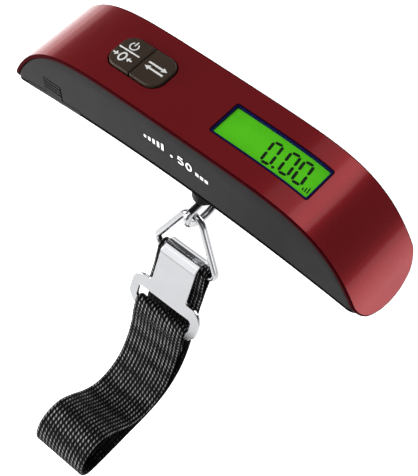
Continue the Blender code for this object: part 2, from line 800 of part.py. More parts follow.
# ---- Load cell and load post -------------------------------------------------------------


def make_load_cell(looks):
    """An aluminium bending beam: one end on the housing's block, the other on the load post."""
    beam = box(
        "load_cell",
        (CELL_LOW_X, -CELL_HALF_WIDTH, CELL_BOTTOM),
        (CELL_HIGH_X, CELL_HALF_WIDTH, CELL_TOP),
        looks["aluminium"],
    )
    middle_z = (CELL_BOTTOM + CELL_TOP) / 2
    for number, x in enumerate(CELL_WINDOW_X, 1):
        cut(
            beam,
            cylinder(
                f"cell_window_{number}", 2.6 * MM, -CELL_HALF_WIDTH - MM, CELL_HALF_WIDTH + MM,
                (x, middle_z), axis="Y", sides=28,
            ),
        )  # fmt: skip
    slot = box(
        "cell_slot",
        (CELL_WINDOW_X[0], -CELL_HALF_WIDTH - MM, middle_z - 0.6 * MM),
        (CELL_WINDOW_X[1], CELL_HALF_WIDTH + MM, middle_z + 0.6 * MM),
    )
    post_hole = cylinder("cell_post_hole", POST_RADIUS + GAP, 0.0, 2 * CELL_TOP)
    cut(beam, slot, post_hole)
    for number, x in enumerate(CELL_SCREW_X, 1):
        cut(beam, cylinder(f"cell_screw_hole_{number}", 1.8 * MM, 0.0, 2 * CELL_TOP, (x, 0.0), sides=20))
        seat = CELL_TOP + GAP
        profile = (
            (0.0, seat + 1.8 * MM), (2.3 * MM, seat + 1.8 * MM), (2.7 * MM, seat + 1.3 * MM),
            (2.7 * MM, seat), (1.5 * MM, seat), (1.5 * MM, 0.4 * MM), (0.0, 0.0),
        )  # fmt: skip
        turned(f"load_cell_screw_{number}", profile, looks["screw"], 24, (x, 0.0))

    gauge_x = sum(CELL_WINDOW_X) / 2
    for name, low in (("top", CELL_TOP + GAP), ("bottom", CELL_BOTTOM - GAP - 0.4 * MM)):
        box(
            f"strain_gauge_{name}",
            (gauge_x - 4 * MM, -2.2 * MM, low),
            (gauge_x + 4 * MM, 2.2 * MM, low + 0.4 * MM),
            looks["gauge"],
        )
    lead = smooth_route(
        [Vector((gauge_x + 4.6 * MM, z * MM)) for z in (13.6,)]
        + [Vector((gauge_x + 6.5 * MM, 14.4 * MM)), Vector((gauge_x + 9.5 * MM, 14.5 * MM)),
           Vector((gauge_x + 11.0 * MM, 15.4 * MM))],
        1.2 * MM,
    )  # fmt: skip
    wire("gauge_lead", [(p.x, 0.0, p.y) for p in lead], 0.5 * MM, looks["lead"], closed=False)


def make_post(looks):
    """The steel post with its D-shaped eye, its nut and washer, and the black collar round it."""
    flat = EYE_HALF_WIDTH
    turns = [-pi * i / 16 for i in range(17)]
    arc = [(flat * cos(a), EYE_TOP - EYE_SIDE + EYE_DEPTH * sin(a)) for a in turns]
    corners = [(-flat, EYE_TOP), (flat, EYE_TOP), *arc]
    radii = [EYE_CORNER, EYE_CORNER] + [0] * len(arc)
    loop = rounded(corners, radii)
    eye = wire("eye_post", [(0.0, y, z) for y, z in loop], EYE_WIRE, looks["chrome"])
    rod = cylinder("post_rod", POST_RADIUS, EYE_TOP, POST_TOP, sides=28)
    join(eye, rod)

    washer_low = CELL_TOP + GAP
    hole = POST_RADIUS + GAP
    ring = (
        (3.6 * MM, washer_low + 0.6 * MM), (3.6 * MM, washer_low),
        (hole, washer_low), (hole, washer_low + 0.6 * MM),
    )  # fmt: skip
    turned("post_washer", ring, looks["screw"])
    nut_low = washer_low + 0.9 * MM
    nut = cylinder("post_nut", 3.9 * MM, nut_low, nut_low + 1.8 * MM, look=looks["screw"], sides=6)
    cut(nut, cylinder("nut_hole", hole, 0.0, 2 * CELL_TOP, sides=28))

    bore = POST_RADIUS + GAP
    seat = COLLAR_BOSS_TOP + GAP
    profile = (
        (COLLAR_FLANGE_RADIUS, seat + 1.2 * MM), (COLLAR_FLANGE_RADIUS, seat), (COLLAR_RADIUS, seat),
        (COLLAR_RADIUS, COLLAR_BOTTOM + 0.8 * MM), (COLLAR_RADIUS - 0.3 * MM, COLLAR_BOTTOM + 0.2 * MM),
        (COLLAR_RADIUS - 0.8 * MM, COLLAR_BOTTOM), (bore, COLLAR_BOTTOM), (bore, seat + 1.2 * MM),
    )  # fmt: skip
    turned("post_collar", profile, looks["black_plastic"], 40)
    return [eye, nut]


# ---- Ring, hook plate and webbing --------------------------------------------------------


def make_ring(looks):
    """A wire triangle: apex in the eye, straight bar at the bottom."""
    down = (RING_BAR - RING_APEX).normalized()
    height = (RING_BAR - RING_APEX).length
    sharp = RING_APEX_RADIUS * (1 / sin(RING_HALF_ANGLE) - 1)
    half_bar = (height + sharp) * tan(RING_HALF_ANGLE)
    corners = ((0.0, -sharp), (half_bar, height), (-half_bar, height))
    radii = (RING_APEX_RADIUS, RING_CORNER_RADIUS, RING_CORNER_RADIUS)
    outline = rounded(corners, radii, steps=8)
    path = [RING_APEX + Vector((x, 0.0, 0.0)) + down * s for x, s in outline]
    return wire("triangle_ring", path, RING_WIRE, looks["chrome"])


def from_plate(down, forward):
    """(y, z) of a point given by its distance down the plate and forward from the ring's bar."""
    return Vector((
        RING_BAR.y - down * sin(PLATE_LEAN) - forward * cos(PLATE_LEAN),
        RING_BAR.z - down * cos(PLATE_LEAN) + forward * sin(PLATE_LEAN),
    ))  # fmt: skip


def make_hook_plate(looks):
    """A bent steel plate: a hook over the ring's bar, and a wide frame with a slot for webbing."""
    bar = Vector((RING_BAR.y, RING_BAR.z))
    front = pi - PLATE_LEAN
    hook = [from_plate(0.6 * MM, -HOOK_RADIUS - 0.1 * MM)]
    hook += arc_path(bar, HOOK_RADIUS, front - pi, front, 14)
    hook += [from_plate(FRAME_TOP * share, HOOK_RADIUS) for share in (0.5, 1.15)]
    plate = prism(
        "hook_plate",
        [band_outline(hook, PLATE_THICKNESS)],
        -HOOK_HALF_WIDTH,
        HOOK_HALF_WIDTH,
        "YZ",
        looks["chrome"],
    )
    tip = FRAME_HALF_WIDTH - 3.2 * MM
    outer = rounded(
        (
            (-FRAME_HALF_WIDTH, FRAME_TOP), (FRAME_HALF_WIDTH, FRAME_TOP),
            (FRAME_HALF_WIDTH, FRAME_BOTTOM - 3.6 * MM), (tip, FRAME_BOTTOM),
            (-tip, FRAME_BOTTOM), (-FRAME_HALF_WIDTH, FRAME_BOTTOM - 3.6 * MM),
        ),
        (FRAME_CORNER, FRAME_CORNER, 2.0 * MM, 1.2 * MM, 1.2 * MM, 2.0 * MM),
    )  # fmt: skip
    slot = rounded(
        (
            (-SLOT_HALF_WIDTH, SLOT_TOP), (SLOT_HALF_WIDTH, SLOT_TOP),
            (SLOT_HALF_WIDTH, SLOT_BOTTOM), (-SLOT_HALF_WIDTH, SLOT_BOTTOM),
        ),
        [1.0 * MM] * 4,
        steps=4,
    )  # fmt: skip
    half = PLATE_THICKNESS / 2 + 0.03 * MM
    frame = prism("hook_frame", [outer, slot], -half, half, "XY")
    middle = from_plate(0.0, HOOK_RADIUS)
    # local y runs down the plate, local z runs back from it
    down = Vector((0.0, -sin(PLATE_LEAN), -cos(PLATE_LEAN)))
    along = Vector((1.0, 0.0, 0.0))
    back = along.cross(down)
    turn = Matrix((along, down, back)).transposed().to_4x4()
    frame.data.transform(Matrix.Translation((0.0, middle.x, middle.y)) @ turn)
    join(plate, frame)
    return plate


def make_webbing(looks):
    """The sling, sewn round the ring's bar, and its other end, sewn round the hook plate's bar."""
    half = WEBBING_WIDTH / 2
    layers = (WEBBING_THICKNESS + GAP) / 2
    bar = Vector((RING_BAR.y, RING_BAR.z))
    front = pi - PLATE_LEAN
    tail = [from_plate(d * MM, f) for d, f in ((14.0, layers), (10.5, layers), (7.5, 1.15 * layers))]
    tail += [from_plate(3.6 * MM, 1.55 * MM)]
    wrap = arc_path(bar, WRAP_RADIUS, front - 0.12, front - pi + 0.12, 12)
    run = [from_plate(3.6 * MM, -1.55 * MM)]
    run += [from_plate(d * MM, -f) for d, f in ((7.5, 1.15 * layers), (10.5, layers))]
    route = tail + wrap + run + [Vector((y * MM, z * MM)) for y, z in SLING_ROUTE]
    sling_path = smooth_route(route, 1.6 * MM)
    sling = prism(
        "sling_webbing", [band_outline(sling_path, WEBBING_THICKNESS)], -half, half, "YZ", looks["webbing"]
    )

    wrap_offset = PLATE_THICKNESS / 2 + GAP + WEBBING_THICKNESS / 2
    top = SLOT_BOTTOM - GAP - WEBBING_THICKNESS / 2
    near = HOOK_RADIUS + wrap_offset
    far = HOOK_RADIUS - wrap_offset
    join_point = Vector((SLING_ROUTE[-1][0] * MM, SLING_ROUTE[-1][1] * MM))
    end = [join_point + Vector((0.14, 1.0)).normalized() * (GAP + 0.1 * MM)]
    end += [from_plate(FRAME_BOTTOM + 1.0 * MM, near - 0.2 * MM), from_plate(SLOT_BOTTOM + MM, near)]
    fold_radius = wrap_offset
    for i in range(1, 8):
        angle = pi * i / 8
        end.append(from_plate(top + fold_radius * 0.75 * (1 - sin(angle)), HOOK_RADIUS + fold_radius * cos(angle)))
    end += [from_plate(SLOT_BOTTOM + MM, far), from_plate(FRAME_BOTTOM + 1.2 * MM, far + 0.1 * MM)]
    behind = WEBBING_THICKNESS + GAP
    end += [join_point + Vector((behind + 0.5 * MM, 1.5 * MM)), join_point + Vector((behind - 0.1 * MM, -2.0 * MM))]
    end_path = smooth_route(end, 1.2 * MM)
    tongue = prism(
        "sling_hook_end", [band_outline(end_path, WEBBING_THICKNESS)], -half, half, "YZ", looks["webbing"]
    )
    return sling, tongue


# ---- The whole scale ---------------------------------------------------------------------


def make_looks():
    return {
        "cover": material("cover_red", (0.16, 0.006, 0.010), 0.22),
        "housing": material("housing_grey", (0.055, 0.052, 0.052), 0.5),
        "black_plastic": material("black_plastic", (0.012, 0.012, 0.012), 0.35),
        "key": material("key_brown_black", (0.045, 0.036, 0.03), 0.5),
        "lens": material("lens_clear", (0.6, 0.8, 0.6), 0.05),
        "lcd": material("lcd_green", (0.09, 0.5, 0.015), 0.3),
        "backlight": material("backlight_green", (0.2, 0.7, 0.1), 0.4),
        "holder": material("holder_black", (0.01, 0.01, 0.015), 0.5),
        "rubber": material("connector_rubber", (0.02, 0.02, 0.02), 0.8),
        "board": material("board_green", (0.01, 0.12, 0.04), 0.4),
        "switch": material("switch_metal", (0.5, 0.5, 0.5), 0.35, 0.8),
        "chip": material("chip_epoxy", (0.01, 0.01, 0.01), 0.4),
        "aluminium": material("cell_aluminium", (0.7, 0.7, 0.72), 0.35, 1.0),
        "gauge": material("gauge_foil", (0.55, 0.32, 0.08), 0.5),
        "lead": material("gauge_lead", (0.5, 0.02, 0.02), 0.5),
        "screw": material("screw_steel", (0.45, 0.45, 0.47), 0.3, 1.0),
        "chrome": material("bright_steel", (0.75, 0.75, 0.77), 0.12, 1.0),
        "cell": material("coin_cell_steel", (0.6, 0.6, 0.6), 0.25, 1.0),
        "contact": material("contact_brass", (0.7, 0.55, 0.25), 0.3, 1.0),
        "webbing": material("webbing_black", (0.012, 0.012, 0.013), 0.85),
    }


def main():
    clear_scene()
    make_collections()
    looks = make_looks()
    make_case(looks)
    door = make_battery_parts(looks)
    make_display(looks)
    power, unit = make_electronics(looks)
    make_load_cell(looks)
    post_pieces = make_post(looks)
    ring = make_ring(looks)
    plate = make_hook_plate(looks)
    sling, hook_end = make_webbing(looks)

    hang_on(joint_empty("battery_door_axis", (DOOR_CENTRE_X, -CASE_HALF_WIDTH, 0.0)), door)
    hang_on(joint_empty("power_button_axis", ((KEY_LOW_X + KEY_SPLIT_X) / 2, 0.0, CASE_TOP)), power)
    hang_on(joint_empty("unit_button_axis", ((KEY_HIGH_X + KEY_SPLIT_X) / 2, 0.0, CASE_TOP)), unit)
    swivel = joint_empty("post_swivel_axis", (0.0, 0.0, 0.0))
    ring_axis = joint_empty("ring_swing_axis", RING_APEX)
    sling_axis = joint_empty("sling_swing_axis", RING_BAR)
    hook_axis = joint_empty("hook_lift_axis", RING_BAR)
    hang_on(hook_axis, plate, hook_end)
    hang_on(sling_axis, sling, hook_axis)
    hang_on(ring_axis, ring, sling_axis)
    hang_on(swivel, *post_pieces, ring_axis)


main()
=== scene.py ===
"""The digital luggage scale as it looks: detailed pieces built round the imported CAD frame.

Lengths are in millimetres until a mesh is made. +X runs from the keys to the display, +Z is up,
and the sling leans to -Y.
"""

from math import atan2, cos, pi, radians, sin, tan

import bmesh
import bpy
from mathutils import Matrix, Vector

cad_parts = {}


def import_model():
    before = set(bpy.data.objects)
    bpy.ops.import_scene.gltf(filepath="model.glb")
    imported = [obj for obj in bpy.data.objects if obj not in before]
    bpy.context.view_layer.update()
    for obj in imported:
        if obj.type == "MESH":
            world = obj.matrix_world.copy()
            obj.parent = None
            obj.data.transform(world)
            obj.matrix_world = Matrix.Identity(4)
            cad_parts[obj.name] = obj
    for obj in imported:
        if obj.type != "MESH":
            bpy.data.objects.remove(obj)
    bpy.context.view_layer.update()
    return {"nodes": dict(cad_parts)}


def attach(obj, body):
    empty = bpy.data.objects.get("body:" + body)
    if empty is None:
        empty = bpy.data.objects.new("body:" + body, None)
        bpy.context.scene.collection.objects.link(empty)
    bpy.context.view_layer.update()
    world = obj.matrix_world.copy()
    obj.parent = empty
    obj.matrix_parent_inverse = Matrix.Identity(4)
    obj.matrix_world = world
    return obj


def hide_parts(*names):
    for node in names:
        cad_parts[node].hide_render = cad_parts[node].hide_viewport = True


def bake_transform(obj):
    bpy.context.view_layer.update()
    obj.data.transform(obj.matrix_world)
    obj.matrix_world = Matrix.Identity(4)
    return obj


MM = 0.001

# Case
HALF_LENGTH = 64.25
HALF_WIDTH = 13.1
ARCH_TOP = 25.3
CROWN_SHARE = 0.047
CORNER_POWER = 5.7
ARCH_ROUNDNESS = 1.05
SIDE_RISE = 4.7
KEEL = -4.7
END_FLOOR = -8.0
END_TAIL = -END_FLOOR / tan(radians(66))
ARCH_START = pi / 56
COVER_THICKNESS = 1.1
PANEL_INSET = 1.4
PANEL_SINK = 0.12
BELLY_RIM = 0.97
END_CORNER = 4.4

# Display and keys
WINDOW_X = (7.4, 40.1)
WINDOW_HALF_WIDTH = 5.9
KEY_X = (-31.2, -21.9, -21.6, -12.3)
KEY_HALF_WIDTH = 5.8
KEY_CORNER = 3.9
KEY_PROUD = 0.8

# Battery door
DOOR_X = (-57.8, -35.8)
DOOR_BACK_Y = 9.5
TAB_X = (-50.1, -43.5)
TAB_TOP = 9.5

# Post, eye and ring
COLLAR_RADIUS = 4.0
COLLAR_BOTTOM = -17.3
EYE_WIRE = 1.3
EYE_TOP = -18.9
EYE_HALF_WIDTH = 8.25
EYE_SIDE = 2.0
EYE_DEPTH = 6.1
RING_WIRE = 1.2
RING_APEX = Vector((0.0, -5.1, -21.8))
RING_BAR = Vector((0.0, -9.9, -40.6))
RING_HALF_ANGLE = radians(28.4)
RING_APEX_RADIUS = 4.6
RING_CORNER_RADIUS = 2.4

# Webbing and hook plate
WEBBING_HALF_WIDTH = 9.9
WEBBING_THICKNESS = 1.1
GAP = 0.3
YARN_PITCH = 1.4
ROW_PITCH = 1.35
YARN_SLANT = 0.28
WEAVE_DEPTH = 0.14
PATH_STEP = 0.34
WRAP_RADIUS = RING_WIRE + GAP + WEBBING_THICKNESS / 2
PLATE_LEAN = radians(24.5)
PLATE_THICKNESS = 1.2
HOOK_RADIUS = WRAP_RADIUS + WEBBING_THICKNESS / 2 + GAP + PLATE_THICKNESS / 2
SLOT_BOTTOM = 20.8

# (y, z) along the middle of the sling, from below the ring's bar round its loop to the hook plate
SLING_ROUTE = (
    (-15.4, -54.6), (-17.6, -61.2), (-19.9, -68.0), (-22.6, -73.9), (-26.2, -79.0),
    (-30.9, -82.9), (-36.0, -85.1), (-42.5, -86.05), (-52.0, -86.05), (-62.0, -86.05),
    (-68.6, -85.5), (-71.1, -83.0), (-71.3, -79.8), (-69.9, -76.6), (-67.3, -74.3),
    (-63.6, -73.2), (-59.8, -73.9), (-56.0, -76.5), (-52.2, -80.0), (-48.3, -83.0),
    (-44.2, -84.5), (-39.8, -84.3), (-35.4, -82.4), (-31.8, -79.0), (-28.8, -74.2),
    (-26.7, -69.4), (-25.6, -65.8),
)  # fmt: skip


def evenly(low, high, count):
    """The count + 1 numbers in even steps from low to high."""
    return [low + (high - low) * i / count for i in range(count + 1)]


def spread(low, high, step):
    """Numbers from low to high, about a step apart."""
    return evenly(low, high, max(1, round((high - low) / step)))


def run_lengths(points):
    """How far along a line of points each one is."""
    lengths = [0.0]
    for a, b in zip(points, points[1:]):
        lengths.append(lengths[-1] + (b - a).length)
    return lengths


def find(values, wanted):
    """The place of wanted in rising values: the index below it, and its share of the way to the next."""
    low, high = 0, len(values) - 1
    while high - low > 1:
        middle = (low + high) // 2
        if values[middle] <= wanted:
            low = middle
        else:
            high = middle
    span = values[high] - values[low]
    return low, (wanted - values[low]) / span if span else 0.0


# ---- The case's surfaces ----


def arch_point(angle):
    """(x, z) on the arch, for angles from 0 at the left end to pi at the right."""
    share = abs(cos(angle))
    fall = CROWN_SHARE * share**2 + (1 - CROWN_SHARE) * share**CORNER_POWER
    return Vector((-HALF_LENGTH * cos(angle), ARCH_TOP * max(1 - fall, 0) ** (1 / ARCH_ROUNDNESS)))


class Arch:
    """The case's outer arch as a line measured from its crown: at(s) gives its place and outward normal."""

    def __init__(self):
        self.points = points = [Vector((-HALF_LENGTH - END_TAIL, END_FLOOR))]
        points += [arch_point(angle) for angle in evenly(ARCH_START, pi - ARCH_START, 360)]
        points.append(Vector((HALF_LENGTH + END_TAIL, END_FLOOR)))
        lengths = run_lengths(points)
        self.lengths = [length - lengths[-1] / 2 for length in lengths]
        self.normals = []
        for i in range(len(points)):
            along = points[min(i + 1, len(points) - 1)] - points[max(i - 1, 0)]
            self.normals.append(Vector((-along.y, along.x)).normalized())

    def at(self, s):
        low, share = find(self.lengths, s)
        place = self.points[low].lerp(self.points[low + 1], share)
        return place, self.normals[low].lerp(self.normals[low + 1], share).normalized()

    def length_at(self, x):
        return self.inset(x, 0)[1]

    def inset(self, x, depth):
        """The height over x of the arch moved in by depth, and how far along the arch that is."""
        moved = [p - n * depth for p, n in zip(self.points, self.normals)]
        low, share = find([p.x for p in moved], x)
        length = self.lengths[low] + (self.lengths[low + 1] - self.lengths[low]) * share
        return moved[low].lerp(moved[low + 1], share).y, length


ARCH = Arch()


def belly_height(x, y):
    """The height of the case's rounded underside."""
    edge = SIDE_RISE * (1 - (x / HALF_LENGTH) ** 2)
    return edge - (edge - KEEL) * (1 - (y / HALF_WIDTH) ** 2)


def on_arch(s, y, h):
    """A place given by its length along the arch from the crown, its y, and its height over the surface."""
    place, normal = ARCH.at(s)
    return Vector((place.x + normal.x * h, y, place.y + normal.y * h))


# ---- Mesh building ----


def mesh_object(name, bm):
    """An object in metres from a bmesh in millimetres, which is used up."""
    bmesh.ops.recalc_face_normals(bm, faces=bm.faces)
    mesh = bpy.data.meshes.new(name)
    bm.to_mesh(mesh)
    bm.free()
    mesh.transform(Matrix.Scale(MM, 4))
    return add_object(name, mesh)


def add_object(name, data):
    obj = bpy.data.objects.new(name, data)
    bpy.context.scene.collection.objects.link(obj)
    return obj


def make_object(name, bm, look, body, nodes=(), slot=None, sharp=50):
    """A piece of the scale: its look, its body and the frame's nodes that it stands for. Its slot is not
    used.
    """
    obj = mesh_object(name, bm)
    obj.data.shade_smooth()
    obj.data.set_sharp_from_angle(angle=radians(sharp))
    obj.data.materials.append(look)
    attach(obj, body)
    if nodes:
        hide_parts(*nodes)
    return obj


def join_rings(bm, a, b):
    """Faces between two rings of as many vertices."""
    for i in range(len(a)):
        j = (i + 1) % len(a)
        bm.faces.new((a[i], a[j], b[j], b[i]))


def loop_offset(loop, distance):
    """A closed loop moved to its left by distance."""
    moved = []
    count = len(loop)
    for i, point in enumerate(loop):
        before = (point - loop[i - 1]).normalized()
        after = (loop[(i + 1) % count] - point).normalized()
        normal = Vector((-before.y - after.y, before.x + after.x)).normalized()
        stretch = max(normal.dot(Vector((-before.y, before.x))), 0.4)
        moved.append(point + normal * distance / stretch)
    return moved


def edge_levels(top, bottom, radius, under_radius, steps):
    """(inward, z) down a plate's rounded edge."""
    flat = 0.12
    levels = [(radius + flat, top)]
    for turn in evenly(0, pi / 2, steps):
        levels.append((radius * (1 - sin(turn)), top - radius * (1 - cos(turn))))
    for turn in evenly(0, pi / 2, 2):
        levels.append((under_radius * (1 - cos(turn)), bottom + under_radius * (1 - sin(turn))))
    return levels + [(under_radius + flat, bottom)]


def cut_across(bm, axis, place):
    """New edges where the bmesh crosses a plane."""
    geometry = [*bm.verts, *bm.edges, *bm.faces]
    point = [place * c for c in axis]
    bmesh.ops.bisect_plane(bm, geom=geometry, plane_co=point, plane_no=axis, dist=0.0005)


def plate(loops, top, bottom, radius, under_radius=0.1, slices=(), rows=(), steps=4, hole_radius=None):
    """A flat plate with round edges, as a bmesh. The first loop is its outline, and runs anticlockwise.
    The others are holes, and run clockwise. Slices and rows are where it is cut across x and y to bend."""
    bm = bmesh.new()
    caps = ([], [])
    for loop in loops:
        edge_radius = radius if loop is loops[0] or hole_radius is None else hole_radius
        rings = []
        for inward, z in edge_levels(top, bottom, edge_radius, under_radius, steps):
            ring = [bm.verts.new((p.x, p.y, z)) for p in loop_offset(loop, inward)]
            rings.append(ring)
        for upper, lower in zip(rings, rings[1:]):
            join_rings(bm, upper, lower)
        for cap, ring in zip(caps, (rings[0], rings[-1])):
            cap.extend(bm.edges.get(pair) for pair in zip(ring, ring[1:] + ring[:1]))
    for cap in caps:
        bmesh.ops.triangle_fill(bm, edges=cap, use_beauty=True)
    for axis, places in (((1, 0, 0), slices), ((0, 1, 0), rows)):
        for place in places:
            cut_across(bm, axis, place)
    return bm


def bend(bm, place):
    """Moves every vertex from the flat to place(x, y, z)."""
    for vert in bm.verts:
        vert.co = place(*vert.co)
    return bm


def rounded(corners, radii, steps=8):
    """A closed outline through corners, each rounded to its own radius."""
    outline = []
    corners = [Vector(corner) for corner in corners]
    for i, (corner, radius) in enumerate(zip(corners, radii)):
        before = (corners[i - 1] - corner).normalized()
        after = (corners[(i + 1) % len(corners)] - corner).normalized()
        if radius == 0:
            outline.append(corner)
            continue
        half = before.angle(after) / 2
        centre = corner + (before + after).normalized() * (radius / sin(half))
        start = corner + before * (radius / tan(half)) - centre
        end = corner + after * (radius / tan(half)) - centre
        first = atan2(start.y, start.x)
        sweep = (atan2(end.y, end.x) - first + pi) % (2 * pi) - pi
        for angle in evenly(first, first + sweep, steps):
            outline.append(centre + Vector((cos(angle), sin(angle))) * radius)
    return outline


def box_loop(low, high, radius, hole=False):
    corners = (low, (high[0], low[1]), high, (low[0], high[1]))
    loop = rounded(corners, [radius] * 4)
    return loop[::-1] if hole else loop


def lathe(profile, sides=64, bm=None):
    """A turned piece from (radius, z) points, in a bmesh. A radius of 0 closes it on the axis."""
    bm = bm or bmesh.new()
    rings = []
    turns = evenly(0, 2 * pi, sides)[:-1]
    for radius, z in profile:
        if radius == 0:
            rings.append([bm.verts.new((0, 0, z))])
        else:
            rings.append([bm.verts.new((radius * cos(a), radius * sin(a), z)) for a in turns])
    closed = profile[0][0] > 0
    pairs = list(zip(rings, rings[1:])) + ([(rings[-1], rings[0])] if closed else [])
    for upper, lower in pairs:
        for i in range(sides):
            j = (i + 1) % sides
            corners = [ring[k % len(ring)] for ring, k in ((upper, i), (upper, j), (lower, j), (lower, i))]
            unique = list(dict.fromkeys(corners))
            if len(unique) > 2:
                bm.faces.new(unique)
    return bm


def tube(bm, path, radius, flat_normal, closed=True, sides=24):
    """A round wire along a path in the plane square to flat_normal, added to a bmesh. radius is a number
    or a list with one number for each point."""
    count = len(path)
    side = Vector(flat_normal).normalized()
    rings = []
    turns = evenly(0, 2 * pi, sides)[:-1]
    for i, point in enumerate(path):
        ahead = path[(i + 1) % count] if closed or i + 1 < count else point
        behind = path[i - 1] if closed or i > 0 else point
        other = (ahead - behind).normalized().cross(side).normalized()
        size = radius[i] if isinstance(radius, list) else radius
        rings.append([bm.verts.new(point + (side * cos(a) + other * sin(a)) * size) for a in turns])
    for a, b in zip(rings, rings[1:]):
        join_rings(bm, a, b)
    if closed:
        join_rings(bm, rings[-1], rings[0])
    else:
        bm.faces.new(rings[0])
        bm.faces.new(rings[-1])


def smooth_route(route, spacing):
    """Even points on the smooth (Catmull-Rom) curve through a route."""
    ends = [route[0] * 2 - route[1]] + list(route) + [route[-1] * 2 - route[-2]]
    fine = []
    for a, b, c, d in zip(ends, ends[1:], ends[2:], ends[3:]):
        for t in evenly(0, 1, 16)[:-1]:
            curve = 2 * b + (c - a) * t + (2 * a - 5 * b + 4 * c - d) * t**2
            fine.append(0.5 * (curve + (3 * b - 3 * c + d - a) * t**3))
    fine.append(route[-1])
    lengths = run_lengths(fine)
    points = []
    for wanted in spread(0, lengths[-1], spacing):
        low, share = find(lengths, wanted)
        points.append(fine[low].lerp(fine[low + 1], share))
    return points


# ---- Materials ----


class Look:
    """A Principled material being built. Node inputs take a number, a colour or another node's output."""

    def __init__(self, name, **sockets):
        self.material = bpy.data.materials.new(name)
        self.material.use_nodes = True
        self.tree = self.material.node_tree
        self.shader = self.tree.nodes["Principled BSDF"]
        self.coordinates = self.tree.nodes.new("ShaderNodeTexCoord")
        for socket, value in sockets.items():
            self.set(socket.replace("_", " "), value)

    def set(self, socket, value):
        self.feed(self.shader.inputs[socket], value)

    def feed(self, socket, value):
        if isinstance(value, bpy.types.NodeSocket):
            self.tree.links.new(value, socket)
        elif isinstance(value, tuple) and len(value) == 3 and len(socket.default_value) == 4:
            socket.default_value = (*value, 1.0)
        else:
            socket.default_value = value

    def node(self, kind, **inputs):
        made = self.tree.nodes.new(f"ShaderNode{kind}")
        for key, value in inputs.items():
            self.feed(made.inputs[key.replace("_", " ")], value)
        return made.outputs[0]

    def math(self, operation, a, b=0.0):
        made = self.tree.nodes.new("ShaderNodeMath")
        made.operation = operation
        for socket, value in zip(made.inputs, (a, b)):
            self.feed(socket, value)
        return made.outputs[0]

    def add(self, a, b):
        return self.math("ADD", a, b)

    def times(self, a, b):
        return self.math("MULTIPLY", a, b)

    def place(self, scale):
        """Object coordinates in millimetres, stretched by scale."""
        place = self.coordinates.outputs["Object"]
        return self.node("Mapping", Vector=place, Scale=scaled(scale, 1 / MM))

    def noise(self, scale, detail, stretch=(1, 1, 1)):
        return self.node("TexNoise", Vector=self.place(stretch), Scale=scale, Detail=detail)

    def ramp(self, value, *stops):
        made = self.tree.nodes.new("ShaderNodeValToRGB")
        self.feed(made.inputs["Fac"], value)
        elements = made.color_ramp.elements
        while len(elements) < len(stops):
            elements.new(0.5)
        for element, (position, colour) in zip(elements, stops):
            element.position = position
            element.color = (*colour, 1.0)
        return made.outputs["Color"]

    def range(self, value, low, high):
        return self.node("MapRange", Value=value, To_Min=low, To_Max=high)

    def bump(self, height, distance):
        self.set("Normal", self.node("Bump", Height=height, Distance=distance * MM))


def scaled(colour, factor):
    return tuple(c * factor for c in colour)


def plain_look(name, colour, roughness, vary=0.12, grain=4.0, bump=0.004, stretch=(1, 1, 1), **sockets):
    """A moulded or machined surface: mottled a little in tone and gloss, with fine grain."""
    look = Look(name, **sockets)
    broad = look.noise(0.15, 2.0, stretch)
    fine = look.noise(grain, 3.0, stretch)
    tone = look.add(look.times(broad, 0.6), look.times(fine, 0.4))
    darker, lighter = scaled(colour, 1 - vary), scaled(colour, 1 + vary)
    look.set("Base Color", look.ramp(tone, (0.3, darker), (0.7, lighter)))
    look.set("Roughness", look.range(fine, roughness * 0.85, roughness * 1.15))
    look.bump(fine, bump)
    return look.material


def cover_look():
    """Dark red candy paint under a clear coat, with a very fine flake."""
    look = Look("cover_red", Metallic=0.72, Coat_Weight=0.7, Coat_Roughness=0.10, Coat_IOR=1.5)
    flake = look.noise(9.0, 1.0)
    broad = look.noise(0.05, 2.0)
    tone = look.add(look.times(flake, 0.55), look.times(broad, 0.45))
    look.set("Base Color", look.ramp(tone, (0.3, (0.36, 0.009, 0.016)), (0.7, (0.42, 0.012, 0.020))))
    look.set("Roughness", look.range(flake, 0.24, 0.32))
    look.bump(flake, 0.0015)
    return look.material


def webbing_look():
    """Black basket-woven webbing. The mesh's UV holds millimetres across and along the band."""
    sheen = {"Sheen_Weight": 0.03, "Sheen_Roughness": 0.4}
    look = Look("webbing_black", Roughness=0.65, Specular_IOR_Level=0.08, **sheen)
    split = look.tree.nodes.new("ShaderNodeSeparateXYZ")
    look.feed(split.inputs[0], look.coordinates.outputs["UV"])
    wobble = look.times(look.noise(0.6, 2.0), 0.16)
    across = look.add(look.times(split.outputs[0], 1 / YARN_PITCH), wobble)
    along = look.add(look.times(split.outputs[1], 1 / ROW_PITCH), wobble)
    row = look.add(along, look.times(across, YARN_SLANT))

    def hump(value, power=1.0):
        wave = look.math("ABSOLUTE", look.math("SINE", look.times(value, pi)))
        return look.math("POWER", wave, power)

    lean = look.times(look.math("FRACT", row), 0.35)
    yarn = look.times(hump(look.add(across, lean), 1.8), hump(row, 0.6))
    twist = look.add(look.times(across, 3.0), look.times(row, 1.5))
    threads = look.times(yarn, look.add(look.times(hump(twist), 0.4), 0.6))
    height = look.add(threads, look.times(look.noise(7.0, 4.0), 0.12))
    patches = look.times(look.noise(0.35, 2.0), 0.35)
    flecks = look.times(look.noise(2.2, 2.0), 0.45)
    worn = look.add(threads, look.add(patches, flecks))
    bands = look.add(look.times(hump(look.times(along, 0.18)), 0.16), 0.70)
    # The band's inner face is painted darker than its outer face: painted shade inside the loop
    inner_face = look.math("GREATER_THAN", split.outputs[0], WEBBING_HALF_WIDTH + 0.7)
    bands_and_inner_shade = look.math("SUBTRACT", bands, look.times(inner_face, 0.2))
    black, dark, light = (0.0006, 0.0006, 0.0007), (0.013, 0.013, 0.0135), (0.42, 0.42, 0.43)
    look.set("Base Color", look.ramp(look.times(worn, bands_and_inner_shade), (0.52, black), (0.78, dark), (1.0, light)))
    look.bump(height, 0.3)
    return look.material


